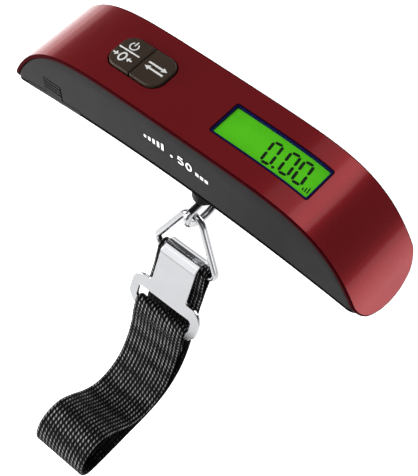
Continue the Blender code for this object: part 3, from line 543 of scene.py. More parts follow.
def lcd_look():
    look = Look("lcd_green", Roughness=0.5, Specular_IOR_Level=0.05, Emission_Strength=0.30)
    green = look.ramp(look.noise(0.08, 2.0), (0.3, (0.078, 0.53, 0.004)), (0.7, (0.088, 0.58, 0.005)))
    look.set("Base Color", green)
    look.set("Emission Color", green)
    look.bump(look.noise(20.0, 1.0), 0.001)
    return look.material


def lens_look():
    look = Look("lens_clear", Roughness=0.05, Alpha=0.03, IOR=1.45)
    tint = look.noise(0.1, 1.0)
    look.set("Base Color", look.ramp(tint, (0.3, (0.20, 0.32, 0.18)), (0.7, (0.24, 0.36, 0.22))))
    return look.material


def make_looks():
    def plastic(name, colour, roughness, specular=0.5, **options):
        return plain_look(name, colour, roughness, Specular_IOR_Level=specular, **options)

    def metal(name, colour, roughness, vary=0.12, **options):
        return plain_look(name, colour, roughness, vary, Metallic=1.0, **options)

    return {
        "cover": cover_look(),
        "cover_edge": plastic("cover_edge_painted_shade", (0.036, 0.0016, 0.0032), 0.55, 0.006, grain=6.0),
        "housing": plastic("housing_grey", (0.0215, 0.0204, 0.0208), 0.5, 0.035, grain=6.0, bump=0.01),
        # The underside and the strip along its edges take near-black copies of the grey housing: painted
        # shade
        "belly": plastic("belly_painted_shade", (0.0045, 0.0042, 0.0045), 0.4, 0.06, grain=6.0),
        "seam_shade": plastic("seam_painted_shade", (0.0018, 0.0017, 0.0018), 0.6, 0.004, grain=6.0),
        "black_plastic": plastic("black_plastic", (0.0075, 0.0075, 0.0078), 0.4, 0.03, grain=3.0),
        "key": plastic("key_brown_black", (0.046, 0.031, 0.021), 0.5, 0.2, grain=8.0, bump=0.006),
        "print": plastic("print_white", (0.90, 0.90, 0.89), 0.45, vary=0.03, grain=5.0),
        "liner": plastic("liner_navy", (0.002, 0.003, 0.07), 0.4, 0.1, grain=2.0),
        "segment": plastic("segment_black", (0.002, 0.007, 0.002), 0.5, 0.05, grain=3.0),
        "lcd": lcd_look(),
        "lens": lens_look(),
        "backlight": plastic("backlight_green", (0.2, 0.7, 0.1), 0.4),
        "board": plastic("board_green", (0.01, 0.12, 0.04), 0.4),
        "chip": plastic("chip_epoxy", (0.01, 0.01, 0.01), 0.35),
        "rubber": plastic("connector_rubber", (0.02, 0.02, 0.02), 0.8),
        "gauge": plastic("gauge_foil", (0.55, 0.32, 0.08), 0.4),
        "lead": plastic("gauge_lead", (0.5, 0.02, 0.02), 0.45),
        "switch": metal("switch_tin", (0.5, 0.5, 0.5), 0.35, stretch=(1, 6, 1)),
        "aluminium": metal("cell_aluminium", (0.72, 0.72, 0.74), 0.32, 0.06, stretch=(0.2, 5, 5)),
        "screw": metal("screw_steel", (0.45, 0.45, 0.47), 0.28, 0.08),
        "cell": metal("coin_cell_steel", (0.6, 0.6, 0.6), 0.22, 0.05, stretch=(1, 8, 1)),
        "contact": metal("contact_brass", (0.7, 0.55, 0.25), 0.28, 0.06),
        "chrome": metal("bright_steel", (0.50, 0.505, 0.52), 0.14, 0.03, grain=1.2, bump=0.0015),
        "thread": plastic("thread_black", (0.02, 0.02, 0.021), 0.7, grain=12.0),
        "webbing": webbing_look(),
    }


# ---- Case ----


def end_length(y):
    """How far along the arch from the crown the cover reaches at y: the underside trims it, and its
    corners are round."""
    s = ARCH.length_at(HALF_LENGTH - 6)
    place, _ = ARCH.at(s)
    while place.y > belly_height(place.x, y):
        s += 0.1
        place, _ = ARCH.at(s)
    past = max(abs(y) - (HALF_WIDTH - END_CORNER), 0.0)
    return s - END_CORNER + (END_CORNER**2 - past**2) ** 0.5


END_REACH = [(end_length(y), y) for y in evenly(0, HALF_WIDTH, 80)]


def half_width_at(s):
    """Half the cover's width at a length along the arch from the crown."""
    return max((y for reach, y in END_REACH if reach >= abs(s)), default=0.0)


def arch_slices(step=1.6):
    """Where a plate is cut so that it can bend along the arch: closer together on the case's ends."""
    slices = []
    s = 0.3
    while s < ARCH.lengths[-1] - 0.5:
        slices += [s, -s]
        place, _ = ARCH.at(s)
        s += step if place.x < 36 else 0.8
    return slices


def arch_box(x_low, x_high, half_width, radius, margin=0.0, hole=False):
    """A box on the unrolled arch, over a stretch of x, with its sides moved in by margin."""
    low, high = ARCH.length_at(x_low) + margin, ARCH.length_at(x_high) - margin
    side = half_width - margin
    return box_loop((low, -side), (high, side), radius, hole)


def make_cover(looks):
    ys = [-HALF_WIDTH * cos(angle) for angle in evenly(0, pi, 44)]
    right = [Vector((end_length(y), y)) for y in ys]
    left = [Vector((-p.x, p.y)) for p in reversed(right)]
    window = arch_box(*WINDOW_X, WINDOW_HALF_WIDTH, 0.7, hole=True)
    keys = arch_box(KEY_X[0] - GAP, KEY_X[3] + GAP, KEY_HALF_WIDTH + GAP, KEY_CORNER + GAP, hole=True)
    loops = [right + left, window, keys]
    bm = plate(loops, 0.0, -COVER_THICKNESS, 0.45, slices=arch_slices(), steps=8, hole_radius=0.2)
    # the rounded edges and the inner face have the second look: a matte dark red, painted shade on the edges
    # and in the gap over the housing
    for face in bm.faces:
        face.material_index = int(min(vert.co.z for vert in face.verts) < -0.001)
    cover = make_object("cover_shell", bend(bm, on_arch), looks["cover"], "case", ["top_cover"], "cover")
    cover.data.materials.append(looks["cover_edge"])


def section(x):
    """The housing's outline at x, from the front panel's top, under the belly, to the back panel's."""
    roof, s = ARCH.inset(x, PANEL_INSET)
    side = HALF_WIDTH - PANEL_SINK
    edge = belly_height(x, HALF_WIDTH)
    bevel, groove, ease = 0.2, 0.3, 0.22
    wall = [(-side + bevel, roof), (-side, roof - bevel)]
    wall += [(-side, z) for z in evenly(roof, edge + 1.3, 4)[1:]]
    wall += [(-side, edge + 0.95), (-side + groove, edge + 0.85), (-side + groove, edge + 0.55)]
    wall += [(-side, edge + 0.45), (-side + 0.03, edge + ease)]
    belly = [(y, belly_height(x, y)) for y in evenly(-side + ease, side - ease, 34)]
    points = wall + belly + [(-y, z) for y, z in reversed(wall)]
    reach = max(min(side, half_width_at(abs(s) + 0.45) - 0.25), 0.0)  # just inside the cover's round ends
    if roof < edge:
        reach = min(reach, side * max((roof - KEEL) / (edge - KEEL), 0.0) ** 0.5)
    if reach == side:
        return points
    return [(max(-reach, min(reach, y)), min(z, roof)) for y, z in points]


def housing_body():
    """The housing from end to end, with its sections closer together towards the ends."""
    bm = bmesh.new()
    stations = []
    x = 0.0
    while x < 66.2:
        stations.append(x)
        x += 1.5 if x < 50 else 0.6 if x < 62 else 0.2
    stations = [-x for x in reversed(stations[1:])] + stations
    rings = [[bm.verts.new((x, y, z)) for y, z in section(x)] for x in stations]
    for a, b in zip(rings, rings[1:]):
        join_rings(bm, a, b)
    bm.faces.new(rings[0])
    bm.faces.new(rings[-1])
    bmesh.ops.remove_doubles(bm, verts=bm.verts, dist=0.002)
    bmesh.ops.dissolve_degenerate(bm, edges=bm.edges, dist=0.002)
    return bm


def cut_away(obj, *cutter_meshes):
    """Booleans each bmesh (in millimetres) out of an object, and applies it."""
    for bm in cutter_meshes:
        cutter = mesh_object("cutter", bm)
        step = obj.modifiers.new("cut", "BOOLEAN")
        step.operation = "DIFFERENCE"
        step.solver = "EXACT"
        step.object = cutter
        bpy.context.view_layer.update()
        graph = bpy.context.evaluated_depsgraph_get()
        made = bpy.data.meshes.new_from_object(obj.evaluated_get(graph))
        obj.modifiers.clear()
        obj.data = made
        bpy.data.objects.remove(cutter)
    obj.data.set_sharp_from_angle(angle=radians(35))


def block(low, high):
    """A box between two corners, as a bmesh."""
    bm = bmesh.new()
    size = [b - a for a, b in zip(low, high)]
    centre = [(a + b) / 2 for a, b in zip(low, high)]
    bmesh.ops.create_cube(bm, size=1.0, matrix=Matrix.Translation(centre) @ Matrix.Diagonal((*size, 1)))
    return bm


def belly_patch(low, high, under, over):
    """A slab that follows the underside, from under to over it."""
    bm = bmesh.new()
    xs, ys = spread(low[0], high[0], 0.7), spread(low[1], high[1], 0.7)
    layers = []
    for lift in (under, over):
        layer = [[bm.verts.new((x, y, belly_height(x, y) + lift)) for y in ys] for x in xs]
        layers.append(layer)
        for a, b in zip(layer, layer[1:]):
            for j in range(len(ys) - 1):
                bm.faces.new((a[j], a[j + 1], b[j + 1], b[j]))
    across, along = len(xs) - 1, len(ys) - 1
    rim = [(i, 0) for i in range(across)] + [(across, j) for j in range(along)]
    rim += [(i, along) for i in range(across, 0, -1)] + [(0, j) for j in range(along, 0, -1)]
    join_rings(bm, *([layer[i][j] for i, j in rim] for layer in layers))
    return bm


SCREWS = ((-32.4, -8.0), (-32.4, 8.0), (52.0, -7.0), (52.0, 7.0))


def screw_seat(x, y):
    """The height of a screw well's seat, which is deeper in than the underside all round the well."""
    return belly_height(x, abs(y) + 2.9) + 1.3


def make_housing(looks):
    body = make_object("base_shell", housing_body(), looks["housing"], "case", ["base_housing"], "housing")
    bore = COLLAR_RADIUS + GAP
    hole = lathe([(0, 6), (bore, 6), (bore, -20), (0, -20)])
    outside = -HALF_WIDTH - 1
    door = belly_patch((DOOR_X[0] - GAP, outside), (DOOR_X[1] + GAP, DOOR_BACK_Y + GAP), -4.0, 1.63)
    tab = block((TAB_X[0] - GAP, outside, 0.0), (TAB_X[1] + GAP, -HALF_WIDTH + 1.9, TAB_TOP + GAP))
    wells = []
    for x, y in SCREWS:
        seat = screw_seat(x, y)
        well = lathe([(0, seat), (2.3, seat), (2.3, seat - 9), (0, seat - 9)], 32)
        bmesh.ops.translate(well, verts=well.verts, vec=(x, y, 0))
        wells.append(well)
    cut_away(body, hole, door, tab, *wells)
    body.data.materials.append(looks["belly"])
    body.data.materials.append(looks["seam_shade"])
    # Faces low on the case are painted shade: the underside darker than the grey, and the groove and strip
    # along the front and back edges darkest
    for face in body.data.polygons:
        x, y, z = face.center / MM
        if z < belly_height(x, HALF_WIDTH) + BELLY_RIM:
            face.material_index = 2 if abs(y) > HALF_WIDTH - 0.5 else 1
    for number, (x, y) in enumerate(SCREWS, 1):
        seat = screw_seat(x, y) - 0.3
        head = [(0, seat - 1.25), (1.2, seat - 1.2), (1.75, seat - 0.9), (2.0, seat - 0.4), (2.0, seat)]
        bm = lathe([*head, (1.0, seat), (1.0, seat + 8.5), (0, seat + 9)], 40)
        bmesh.ops.translate(bm, verts=bm.verts, vec=(x, y, 0))
        name = f"case_screw_{number}"
        screw = make_object(f"{name}_head", bm, looks["screw"], "case", [name], "screw", sharp=40)
        for across, along in ((1.15, 0.3), (0.3, 1.15)):
            slot = block((x - across, y - along, seat - 1.6), (x + across, y + along, seat - 0.75))
            cut_away(screw, slot)


def make_door(looks):
    low = (DOOR_X[0], -HALF_WIDTH + 0.15)
    bm = belly_patch(low, (DOOR_X[1], DOOR_BACK_Y), 0.03, 1.5)
    # The door is part of the underside, so it carries the underside's painted shade too
    make_object("door_shell", bm, looks["belly"], "battery_door", ["battery_door"], "housing", sharp=35)
    front, back = -HALF_WIDTH + PANEL_SINK, -HALF_WIDTH + 1.4
    profile = [(back, TAB_TOP), (front + 0.15, TAB_TOP), (front, TAB_TOP - 0.15)]
    for number in range(3):
        z = TAB_TOP - 1.0 - 1.25 * number
        profile += [(front, z + 0.24), (front + 0.6, z + 0.14), (front + 0.6, z - 0.14), (front, z - 0.24)]
    profile += [(front, 4.0), (front, 2.3), (back, 2.3)]
    tab = bmesh.new()
    ends = [[tab.verts.new((x, y, z)) for y, z in profile] for x in TAB_X]
    for end in ends:
        tab.faces.new(end)
    join_rings(tab, *ends)
    lip = make_object("door_tab", tab, looks["housing"], "battery_door", slot="housing", sharp=35)
    lip.data.materials.append(looks["seam_shade"])
    # Every face set back from the tab's front, the grooves between its ribs above all, is painted black:
    # painted shade
    for face in lip.data.polygons:
        if face.center.y > (front + 0.1) * MM:
            face.material_index = 1


# ---- Display and keys ----


def make_display(looks):
    def pane(margin, radius, hole=False):
        return arch_box(*WINDOW_X, WINDOW_HALF_WIDTH, radius, margin, hole)

    rim = [pane(0.04, 0.66), pane(0.6, 0.4, hole=True)]
    for name, look, node, slot, loops, levels in (
        ("window_liner", "liner", "lcd_holder", "holder", rim, (-0.12, -1.35, 0.08, 0.05)),
        ("display_face", "lcd", "lcd_panel", "lcd", [pane(0.45, 0.4)], (-1.05, -1.7, 0.02, 0.02)),
        ("window_lens", "lens", "lcd_lens", "lens", [pane(0.62, 0.4)], (-0.55, -0.8, 0.05, 0.05)),
    ):
        bm = plate(loops, *levels, arch_slices(1.0))
        make_object(name, bend(bm, on_arch), looks[look], "case", [node], slot)
    make_digits(looks)


def segment(a, b, width):
    """A bar with pointed ends, as a closed loop."""
    along = (b - a).normalized()
    side = Vector((-along.y, along.x)) * width / 2
    nose = along * width / 2
    return [a, a + nose - side, b - nose - side, b, b - nose + side, a + nose + side]


def segment_nought(corner, across, up, width):
    """The six bars that light in a seven-segment 0, set out from its lower left corner."""
    places = ((0, 0), (1, 0), (1, 0.5), (1, 1), (0, 1), (0, 0.5))
    points = [Vector(corner) + Vector(across) * u + Vector(up) * v for u, v in places]
    bars = []
    for a, b in zip(points, points[1:] + points[:1]):
        gap = (b - a).normalized() * 0.16
        bars.append(segment(a + gap, b - gap, width))
    return bars


def ribbon(points, width):
    """A closed loop round a line of points."""
    points = [Vector(p) for p in points]
    left, right = [], []
    for i, point in enumerate(points):
        along = (points[min(i + 1, len(points) - 1)] - points[max(i - 1, 0)]).normalized()
        side = Vector((-along.y, along.x)) * width / 2
        left.append(point + side)
        right.append(point - side)
    return right + left[::-1]


def ellipse(centre, half_width, half_height, turns):
    x, y = centre
    return [Vector((x + half_width * cos(a), y + half_height * sin(a))) for a in turns]


def dot(centre, radius, sides=20):
    return ellipse(centre, radius, radius, evenly(0, 2 * pi, sides)[:-1])


def nought(centre, half_width, half_height, width):
    """The figure 0 in two strokes."""
    halves = evenly(0, pi, 12), evenly(pi, 2 * pi, 12)
    return [ribbon(ellipse(centre, half_width, half_height, turns), width) for turns in halves]


def arrow(tail, way, shaft, head, width):
    """An arrow along x, to the right for a way of 1 and to the left for -1. head is (length, half width)."""
    tail = Vector(tail)
    neck = tail + Vector((shaft * way, 0))
    tip = neck + Vector((head[0] * way, 0))
    wing = Vector((0, head[1]))
    return [ribbon([tail, neck], width), [tip, neck + wing, neck - wing][::way]]


def marks(name, loops, place, look, body, slot):
    """Thin printed shapes, raised from a surface by their own thickness."""
    thickness = 0.04
    bm = bmesh.new()
    for loop in loops:
        upper, lower = ([bm.verts.new((p.x, p.y, z)) for p in loop] for z in (thickness, 0.0))
        bm.faces.new(upper)
        bm.faces.new(lower)
        join_rings(bm, upper, lower)
    xs = [vert.co.x for vert in bm.verts]
    for x in spread(min(xs), max(xs), 0.6):
        cut_across(bm, (1, 0, 0), x)
    make_object(name, bend(bm, place), look, body, slot=slot, sharp=30)


def make_digits(looks):
    """The reading 0.00, and three small rising bars after it."""

    def on_display(x, y, h):
        return on_arch(ARCH.length_at(x), y, h - 1.06)

    loops = []
    for corner in ((23.45, -4.1), (28.95, -3.7), (33.3, -3.5)):
        loops += segment_nought(corner, (2.75, 0.38), (-0.95, 7.0), 0.86)
    loops.append(dot((27.3, -3.7), 0.55, 4))
    for i in range(3):
        foot = Vector((37.3 + 0.7 * i, -3.9 + 0.08 * i))
        loops.append(ribbon([foot, foot + Vector((-0.2, 0.9 + 0.47 * i))], 0.34))
    marks("display_digits", loops, on_display, looks["segment"], "case", "lcd")


def make_key(kind, x_low, x_high, rounded_side, looks):
    s_low, s_high = ARCH.length_at(x_low), ARCH.length_at(x_high)
    side = KEY_HALF_WIDTH
    corners = ((s_low, -side), (s_high, -side), (s_high, side), (s_low, side))
    big, small = KEY_CORNER, 0.35
    radii = (big, small, small, big) if rounded_side == "low" else (small, big, big, small)
    loop = rounded(corners, radii, steps=12)
    cap = plate([loop], KEY_PROUD, -1.6, 0.42, 0.1, spread(s_low + 0.7, s_high - 0.7, 1.0), steps=5)
    make_object(f"{kind}_cap", bend(cap, on_arch), looks["key"], f"{kind}_key", [f"{kind}_button"], "key")


def make_keys(looks):
    make_key("power", *KEY_X[:2], "low", looks)
    make_key("unit", *KEY_X[2:], "high", looks)

    def on_cap(x, y, h):
        return on_arch(ARCH.length_at(x), y, KEY_PROUD + h - 0.01)

    centre = Vector((-27.1, 2.5))
    turns = [radians(angle) for angle in evenly(125, 415, 24)]
    loops = [ribbon(ellipse(centre, 1.3, 1.3, turns), 0.42)]
    loops.append(ribbon([centre + Vector((0.0, 0.2)), centre + Vector((0.0, 1.8))], 0.42))
    loops.append(ribbon([(-30.7, 0.35), (-23.3, 0.35)], 0.5))
    middle = Vector((-27.2, -2.2))
    loops += nought(middle, 0.95, 1.45, 0.55)
    for way in (-1, 1):
        loops += arrow(middle + Vector((3.4 * way, 0)), -way, 0.9, (1.0, 0.9), 0.5)
    marks("power_print", loops, on_cap, looks["print"], "power_key", "key")

    loops = []
    for way, y in ((1, 1.0), (-1, -0.7)):
        loops += arrow((-16.95 - 3.2 * way, y), way, 4.9, (1.7, 0.85), 0.62)
    marks("unit_print", loops, on_cap, looks["print"], "unit_key", "key")


def make_panel_print(looks):
    """A rising row of bars, a dot, the figure 50 and a short row of squares, on the front panel."""

    def on_panel(x, z, h):
        return Vector((x, -HALF_WIDTH + PANEL_SINK - h, z - 0.079 * x))

    loops = []
    base = 14.3
    for i in range(5):
        x = -9.6 + 1.6 * i
        loops.append(ribbon([(x, base), (x, base + 1.1 + 0.42 * i)], 0.85))
    loops.append(dot((0.0, base + 0.4), 0.5))
    five = [(4.1, base + 2.6), (2.6, base + 2.6), (2.45, base + 1.5), (3.3, base + 1.65), (4.1, base + 1.2)]
    five += [(4.15, base + 0.5), (3.5, base), (2.4, base + 0.15)]
    loops.append(ribbon(five, 0.6))
    loops += nought((6.25, base + 1.3), 0.85, 1.3, 0.6)
    for i in range(3):
        x = 8.6 + 1.65 * i
        loops.append(ribbon([(x, base + 0.65), (x + 1.15, base + 0.65)], 1.3))
    marks("panel_print", loops, on_panel, looks["print"], "case", "housing")


# ---- Post, eye and ring ----


def make_post(looks):
    top, bottom, r = 0.9, COLLAR_BOTTOM, COLLAR_RADIUS
    profile = [
        (6.0, top), (6.0, -0.6), (r, -0.6), (r, -12.2), (r - 0.22, -12.4), (r - 0.22, -12.8), (r, -13.0),
        (r, bottom + 0.9), (r - 0.08, bottom + 0.5), (r - 0.3, bottom + 0.2), (r - 0.7, bottom + 0.03),
        (r - 1.0, bottom), (2.45, bottom), (2.3, bottom + 0.2), (2.3, top),
    ]  # fmt: skip
    black = looks["black_plastic"]
    make_object("collar_sleeve", lathe(profile), black, "case", ["post_collar"], "black_plastic", sharp=40)

    half = EYE_HALF_WIDTH
    corners = [(half, EYE_TOP), (-half, EYE_TOP)]
    low = [(-half * cos(a), EYE_TOP - EYE_SIDE + EYE_DEPTH * sin(a)) for a in evenly(0, -pi, 40)]
    loop = rounded([*corners, *low], [2.2, 2.2] + [0] * len(low), steps=10)
    bm = bmesh.new()
    tube(bm, [Vector((0, p.x, p.y)) for p in loop], EYE_WIRE, flat_normal=(1, 0, 0))
    rod = [
        (0, 13.5), (1.7, 13.5), (2.0, 13.2), (2.0, -17.2), (2.15, -17.7), (1.95, -18.6), (1.2, -19.3),
        (0, -19.6),
    ]  # fmt: skip
    lathe(rod, 48, bm)
    make_object("eye_bolt", bm, looks["chrome"], "post", ["eye_post"], "chrome", sharp=40)


def ring_path():
    """The ring's centre line, a triangle with round corners, and the way down from its apex to its bar."""
    down = (RING_BAR - RING_APEX).normalized()
    height = (RING_BAR - RING_APEX).length
    sharp = RING_APEX_RADIUS * (1 / sin(RING_HALF_ANGLE) - 1)
    half_bar = (height + sharp) * tan(RING_HALF_ANGLE)
    corners = ((0.0, -sharp), (half_bar, height), (-half_bar, height))
    outline = rounded(corners, (RING_APEX_RADIUS, RING_CORNER_RADIUS, RING_CORNER_RADIUS), steps=20)
    return [RING_APEX + Vector((p.x, 0.0, 0.0)) + down * p.y for p in outline], down


def make_ring(looks):
    path, down = ring_path()
    dense = []
    for a, b in zip(path, path[1:] + path[:1]):
        count = max(1, round((b - a).length / 1.5))
        dense += [a.lerp(b, i / count) for i in range(count)]
    bm = bmesh.new()
    tube(bm, dense, RING_WIRE, flat_normal=Vector((1, 0, 0)).cross(down))
    make_object("ring_wire", bm, looks["chrome"], "ring", ["triangle_ring"], "chrome")


# ---- Hook plate and webbing ----


def from_plate(down, forward):
    """(y, z) of a point given by its distance down the plate and forward from the ring's bar."""
    y = RING_BAR.y - down * sin(PLATE_LEAN) - forward * cos(PLATE_LEAN)
    return Vector((y, RING_BAR.z - down * cos(PLATE_LEAN) + forward * sin(PLATE_LEAN)))


def on_hook(x, down, h):
    """A place on the plate: flat below the bar, and wound round the bar above it. h is 0 at mid thickness."""
    radius = HOOK_RADIUS + h
    if down >= 0:
        forward, drop = radius, down
    elif down > -pi * HOOK_RADIUS:
        turn = -down / HOOK_RADIUS
        forward, drop = radius * cos(turn), -radius * sin(turn)
    else:
        forward, drop = -radius, -down - pi * HOOK_RADIUS
    return Vector((x, *from_plate(drop, forward)))


def make_hook_plate(looks):
    start = -pi * HOOK_RADIUS - 0.7
    neck, top, wide = 7.1, 11.5, 14.0
    corners = [
        (-neck, start), (neck, start), (neck, top), (wide, top), (wide, 20.6), (11.6, 23.3),
        (-11.6, 23.3), (-wide, 20.6), (-wide, top), (-neck, top),
    ]  # fmt: skip
    radii = [1.2, 1.2, 1.5, 4.4, 2.2, 1.2, 1.2, 2.2, 4.4, 1.5]
    outline = rounded(corners, radii, steps=10)
    slot = box_loop((-10.8, 16.0), (10.8, SLOT_BOTTOM), 1.2, hole=True)
    rows = [start + 0.75 + i * 0.4 for i in range(30)]
    half = PLATE_THICKNESS / 2
    bm = plate([outline, slot], half, -half, 0.22, 0.22, rows=rows)
    make_object("hook_shell", bend(bm, on_hook), looks["chrome"], "hook", ["hook_plate"], "chrome", sharp=60)


def weave(across, along):
    """The height of the weave from 0 to 1, at a place in millimetres across and along the band."""
    column = across / YARN_PITCH
    row = along / ROW_PITCH + YARN_SLANT * column
    return abs(sin(pi * column)) ** 0.8 * abs(sin(pi * row)) ** 0.6


def band(path, widths, start=0.0):
    """A woven band along a (y, z) path, and the length that it has reached. Its UV holds millimetres
    across, which run on round the edge to the inner face, and along."""
    bm = bmesh.new()
    uv = bm.loops.layers.uv.new("UVMap")
    half = WEBBING_THICKNESS / 2 - WEAVE_DEPTH
    rings, run = [], start
    for i, point in enumerate(path):
        if i:
            run += (point - path[i - 1]).length
        along = (path[min(i + 1, len(path) - 1)] - path[max(i - 1, 0)]).normalized()
        out = Vector((-along.y, along.x))
        width = widths[i]
        us = evenly(-width, width, 56)
        top = [(0.985 * u, half + WEAVE_DEPTH * weave(u, run), u) for u in us]
        edge = [(width, half * 0.6, width + 0.3), (width + 0.02, 0, width + 0.55)]
        edge.append((width, -half * 0.6, width + 0.8))
        under = [(x, -offset, 2 * width + 1.1 - u) for x, offset, u in reversed(top)]
        profile = top + edge + under + [(-x, offset, -u) for x, offset, u in reversed(edge)]
        ring = []
        for x, offset, u in profile:
            y, z = point + out * offset
            ring.append((bm.verts.new((x, y, z)), (u, run)))
        rings.append(ring)

    def add_face(corners, lift=0.0):
        face = bm.faces.new([vert for vert, _ in corners])
        for loop, (_, (u, v)) in zip(face.loops, corners):
            loop[uv].uv = (u, v + loop.vert.co.z * lift)

    for a, b in zip(rings, rings[1:]):
        for k in range(len(a)):
            m = (k + 1) % len(a)
            add_face((a[k], a[m], b[m], b[k]))
    for ring in (rings[0], rings[-1]):
        add_face(ring, 0.3)
    return bm, run


def sling_path():
    """From the tail behind the hook plate up round the ring's bar, down again and round the big loop."""
    layers = (WEBBING_THICKNESS + GAP) / 2
    front = pi - PLATE_LEAN
    side = ((10.5, layers), (7.5, 1.15 * layers), (3.6, 1.55))
    tail = [from_plate(down, forward) for down, forward in ((14.0, layers), *side)]
    wrap = ellipse(RING_BAR.yz, WRAP_RADIUS, WRAP_RADIUS, evenly(front - 0.12, front - pi + 0.12, 12))
    run = [from_plate(down, -forward) for down, forward in reversed(side)]
    return smooth_route(tail + wrap + run + [Vector(p) for p in SLING_ROUTE], PATH_STEP)


def hook_end_path(start):
    """From the sling's end up to the hook plate's slot, through it, and back down to the sling."""
    offset = PLATE_THICKNESS / 2 + GAP + WEBBING_THICKNESS / 2
    near, far = HOOK_RADIUS + offset, HOOK_RADIUS - offset
    top = SLOT_BOTTOM - GAP - WEBBING_THICKNESS / 2
    route = list(start)
    route += [from_plate(24.2, near - 0.2), from_plate(SLOT_BOTTOM + 1.0, near)]
    for angle in evenly(0, pi, 8)[1:-1]:
        route.append(from_plate(top + offset * 0.75 * (1 - sin(angle)), HOOK_RADIUS + offset * cos(angle)))
    last = Vector(SLING_ROUTE[-1])
    route += [from_plate(SLOT_BOTTOM + 1.0, far), from_plate(24.4, far + 0.1)]
    route += [last + Vector((1.9, 1.5)), last + Vector((1.3, -2.0))]
    return smooth_route(route, PATH_STEP)


def make_webbing(looks):
    """One webbing in two pieces, cut just before the loop's end comes up to the hook plate."""
    path = sling_path()
    split = len(path) - 1
    while path[split].y > -71.5:
        split -= 1
    lower = path[: split + 1]
    near_bar = [max(0.0, 1 - (point - RING_BAR.yz).length / 9.0) for point in lower]
    bm, run = band(lower, [WEBBING_HALF_WIDTH - 0.55 * near for near in near_bar])
    sling = make_object("sling_band", bm, looks["webbing"], "sling", ["sling_webbing"], "webbing", sharp=60)
    upper = path[split:]
    end = hook_end_path(upper[::6] + [Vector(SLING_ROUTE[-1]) + Vector((0.06, 0.5))])
    bm, total = band(end, [WEBBING_HALF_WIDTH] * len(end), start=run)
    hook = make_object("hook_band", bm, looks["webbing"], "hook", ["sling_hook_end"], "webbing", sharp=60)
    hook.parent = None  # the piece spans two bodies, so it is left without a parent
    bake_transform(hook)


def stitch_row(bm, place, start, end):
    """Short threads in a row, from start to end across a band's face."""
    pitch, size = 1.35, 0.17
    lifts = (0.0, 0.13, 0.17, 0.13, 0.0)
    sizes = [size * 0.6, size, size, size, size * 0.6]
    start, end = Vector(start), Vector(end)
    along = (end - start).normalized()
    for i in range(int((end - start).length / pitch)):
        first = start + along * (pitch * (i + 0.18))
        points = [first + along * t for t in evenly(0, pitch * 0.64, 4)]
        path = [place(*point, lift) for point, lift in zip(points, lifts)]
        normal = place(*first, 1.0) - place(*first, 0.0)
        tube(bm, path, sizes, normal, closed=False, sides=8)


def make_stitches(looks):
    """Two rows across the front of the hook's end, and a box on the back of the sling's tail."""
    front = HOOK_RADIUS + PLATE_THICKNESS / 2 + GAP + WEBBING_THICKNESS - 0.06
    back = (WEBBING_THICKNESS + GAP) / 2 + WEBBING_THICKNESS / 2 - 0.04

    def on_front(x, down, h):
        return Vector((x, *from_plate(down, front + h)))

    def on_back(x, down, h):
        return Vector((x, *from_plate(down, -back - h)))

    bm = bmesh.new()
    for down in (24.4, 25.3):
        stitch_row(bm, on_front, (-8.6, down), (8.6, down))
    make_object("hook_stitches", bm, looks["thread"], "hook", slot="webbing")

    bm = bmesh.new()
    for down in (8.6, 13.0):
        stitch_row(bm, on_back, (-8.4, down), (8.4, down))
    for x in (-8.4, 8.4):
        stitch_row(bm, on_back, (x, 8.7), (x, 12.9))
    make_object("sling_stitches", bm, looks["thread"], "sling", slot="webbing")


# ---- What stays as the frame gives it ----

INNER = {
    "board": ["circuit_board"],
    "chip": ["controller_chip"],
    "switch": ["power_switch", "unit_switch"],
    "black_plastic": ["battery_holder"],
    "cell": ["coin_cell"],
    "contact": ["battery_contact_top", "battery_contact_bottom"],
    "aluminium": ["load_cell"],
    "screw": ["load_cell_screw_1", "load_cell_screw_2", "post_nut", "post_washer"],
    "gauge": ["strain_gauge_top", "strain_gauge_bottom"],
    "lead": ["gauge_lead"],
    "rubber": ["connector_strip_front", "connector_strip_back"],
    "backlight": ["backlight_guide"],
}


def dress_inner_pieces(frame, looks):
    for look, names in INNER.items():
        for name in names:
            materials = frame["nodes"][name].data.materials
            materials.clear()
            materials.append(looks[look])


# ---- Stage ----


def make_stage():
    bm = bmesh.new()
    bmesh.ops.create_grid(bm, x_segments=1, y_segments=1, size=3000)
    floor = mesh_object("floor", bm)
    floor.location = (0, 0, -0.22)
    look = Look("floor_white", Roughness=0.9, Emission_Strength=0.75)
    white = look.ramp(look.noise(0.002, 2.0), (0.3, (0.90, 0.90, 0.90)), (0.7, (0.92, 0.92, 0.92)))
    look.set("Base Color", white)
    look.set("Emission Color", white)
    floor.data.materials.append(look.material)


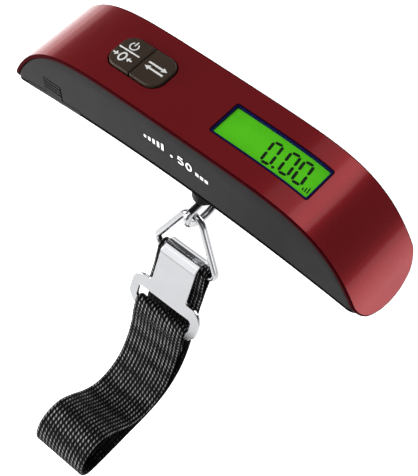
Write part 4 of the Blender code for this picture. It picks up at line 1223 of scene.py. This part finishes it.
# Each light's place and target and size in metres, and its power in watts
LIGHTS = {
    "front_left_light": ((-0.45, -0.85, 0.42), (0, 0, 0), (0.8, 1.1), 4.2),
    "top_light": ((-0.2, -0.38, 1.2), (0, 0, 0), (1.1, 0.95), 5.2),
    "right_card": ((0.95, -0.55, 0.35), (0, 0, -0.03), (0.9, 0.9), 0.7),
    "near_light": ((-0.26, -0.22, 0.05), (-0.06, -0.013, 0.01), (0.12, 0.12), 1.2),
    "band_light": ((0.27, 0.47, 0.84), (0.04, 0, 0), (0.30, 0.26), 0.20),
    "band_halo": ((0.14, 0.55, 0.86), (0.04, 0, 0), (0.62, 0.50), 0.40),
    "ring_card": ((0.98, -0.16, 0.03), (0, 0, -0.03), (0.85, 0.16), 0.7),
    "roll_card": ((-0.37, 0.86, 0.20), (0, 0, -0.04), (0.35, 0.35), 0.6),
    "back_fill": ((0.1, 1.0, 0.22), (0, 0, 0), (0.7, 0.35), 4),
    "end_card": ((-0.95, 0.45, 0.02), (-0.05, 0, 0), (0.8, 0.28), 0.42),
}


def make_lights():
    world = bpy.data.worlds.new("studio")
    bpy.context.scene.world = world
    world.use_nodes = True
    background = world.node_tree.nodes["Background"]
    background.inputs["Color"].default_value = (1.0, 1.0, 1.0, 1.0)
    background.inputs["Strength"].default_value = 0.12
    for name, (place, target, size, power) in LIGHTS.items():
        light = bpy.data.lights.new(name, "AREA")
        light.shape = "RECTANGLE"
        light.size, light.size_y = size
        light.energy = power
        lamp = add_object(name, light)
        lamp.location = place
        lamp.rotation_euler = (Vector(target) - Vector(place)).to_track_quat("-Z", "Y").to_euler()


def make_camera():
    """The camera as fitted to the photo: where it looks from, its roll, and its place off the object."""
    azimuth, elevation, roll = radians(42.453), radians(56.294), radians(-1.48)
    back = Vector((sin(azimuth) * cos(elevation), -cos(azimuth) * cos(elevation), sin(elevation)))
    right = Vector((cos(azimuth), sin(azimuth), 0.0))
    up = back.cross(right)
    right, up = right * cos(roll) + up * sin(roll), up * cos(roll) - right * sin(roll)
    eye = right * 1.346 + up * -22.05 + back * 338.8
    data = bpy.data.cameras.new("camera")
    data.sensor_width = 36.0
    data.lens = 90.39
    data.clip_start = 0.01
    camera = add_object("camera", data)
    camera.matrix_world = Matrix.Translation(eye * MM) @ Matrix((right, up, back)).transposed().to_4x4()
    bpy.context.scene.camera = camera


def main():
    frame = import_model()
    looks = make_looks()
    make_cover(looks)
    make_housing(looks)
    make_door(looks)
    make_display(looks)
    make_keys(looks)
    make_panel_print(looks)
    make_post(looks)
    make_ring(looks)
    make_hook_plate(looks)
    make_webbing(looks)
    make_stitches(looks)
    dress_inner_pieces(frame, looks)
    make_stage()
    make_lights()
    make_camera()
    bpy.context.scene.view_settings.view_transform = "Standard"


main()
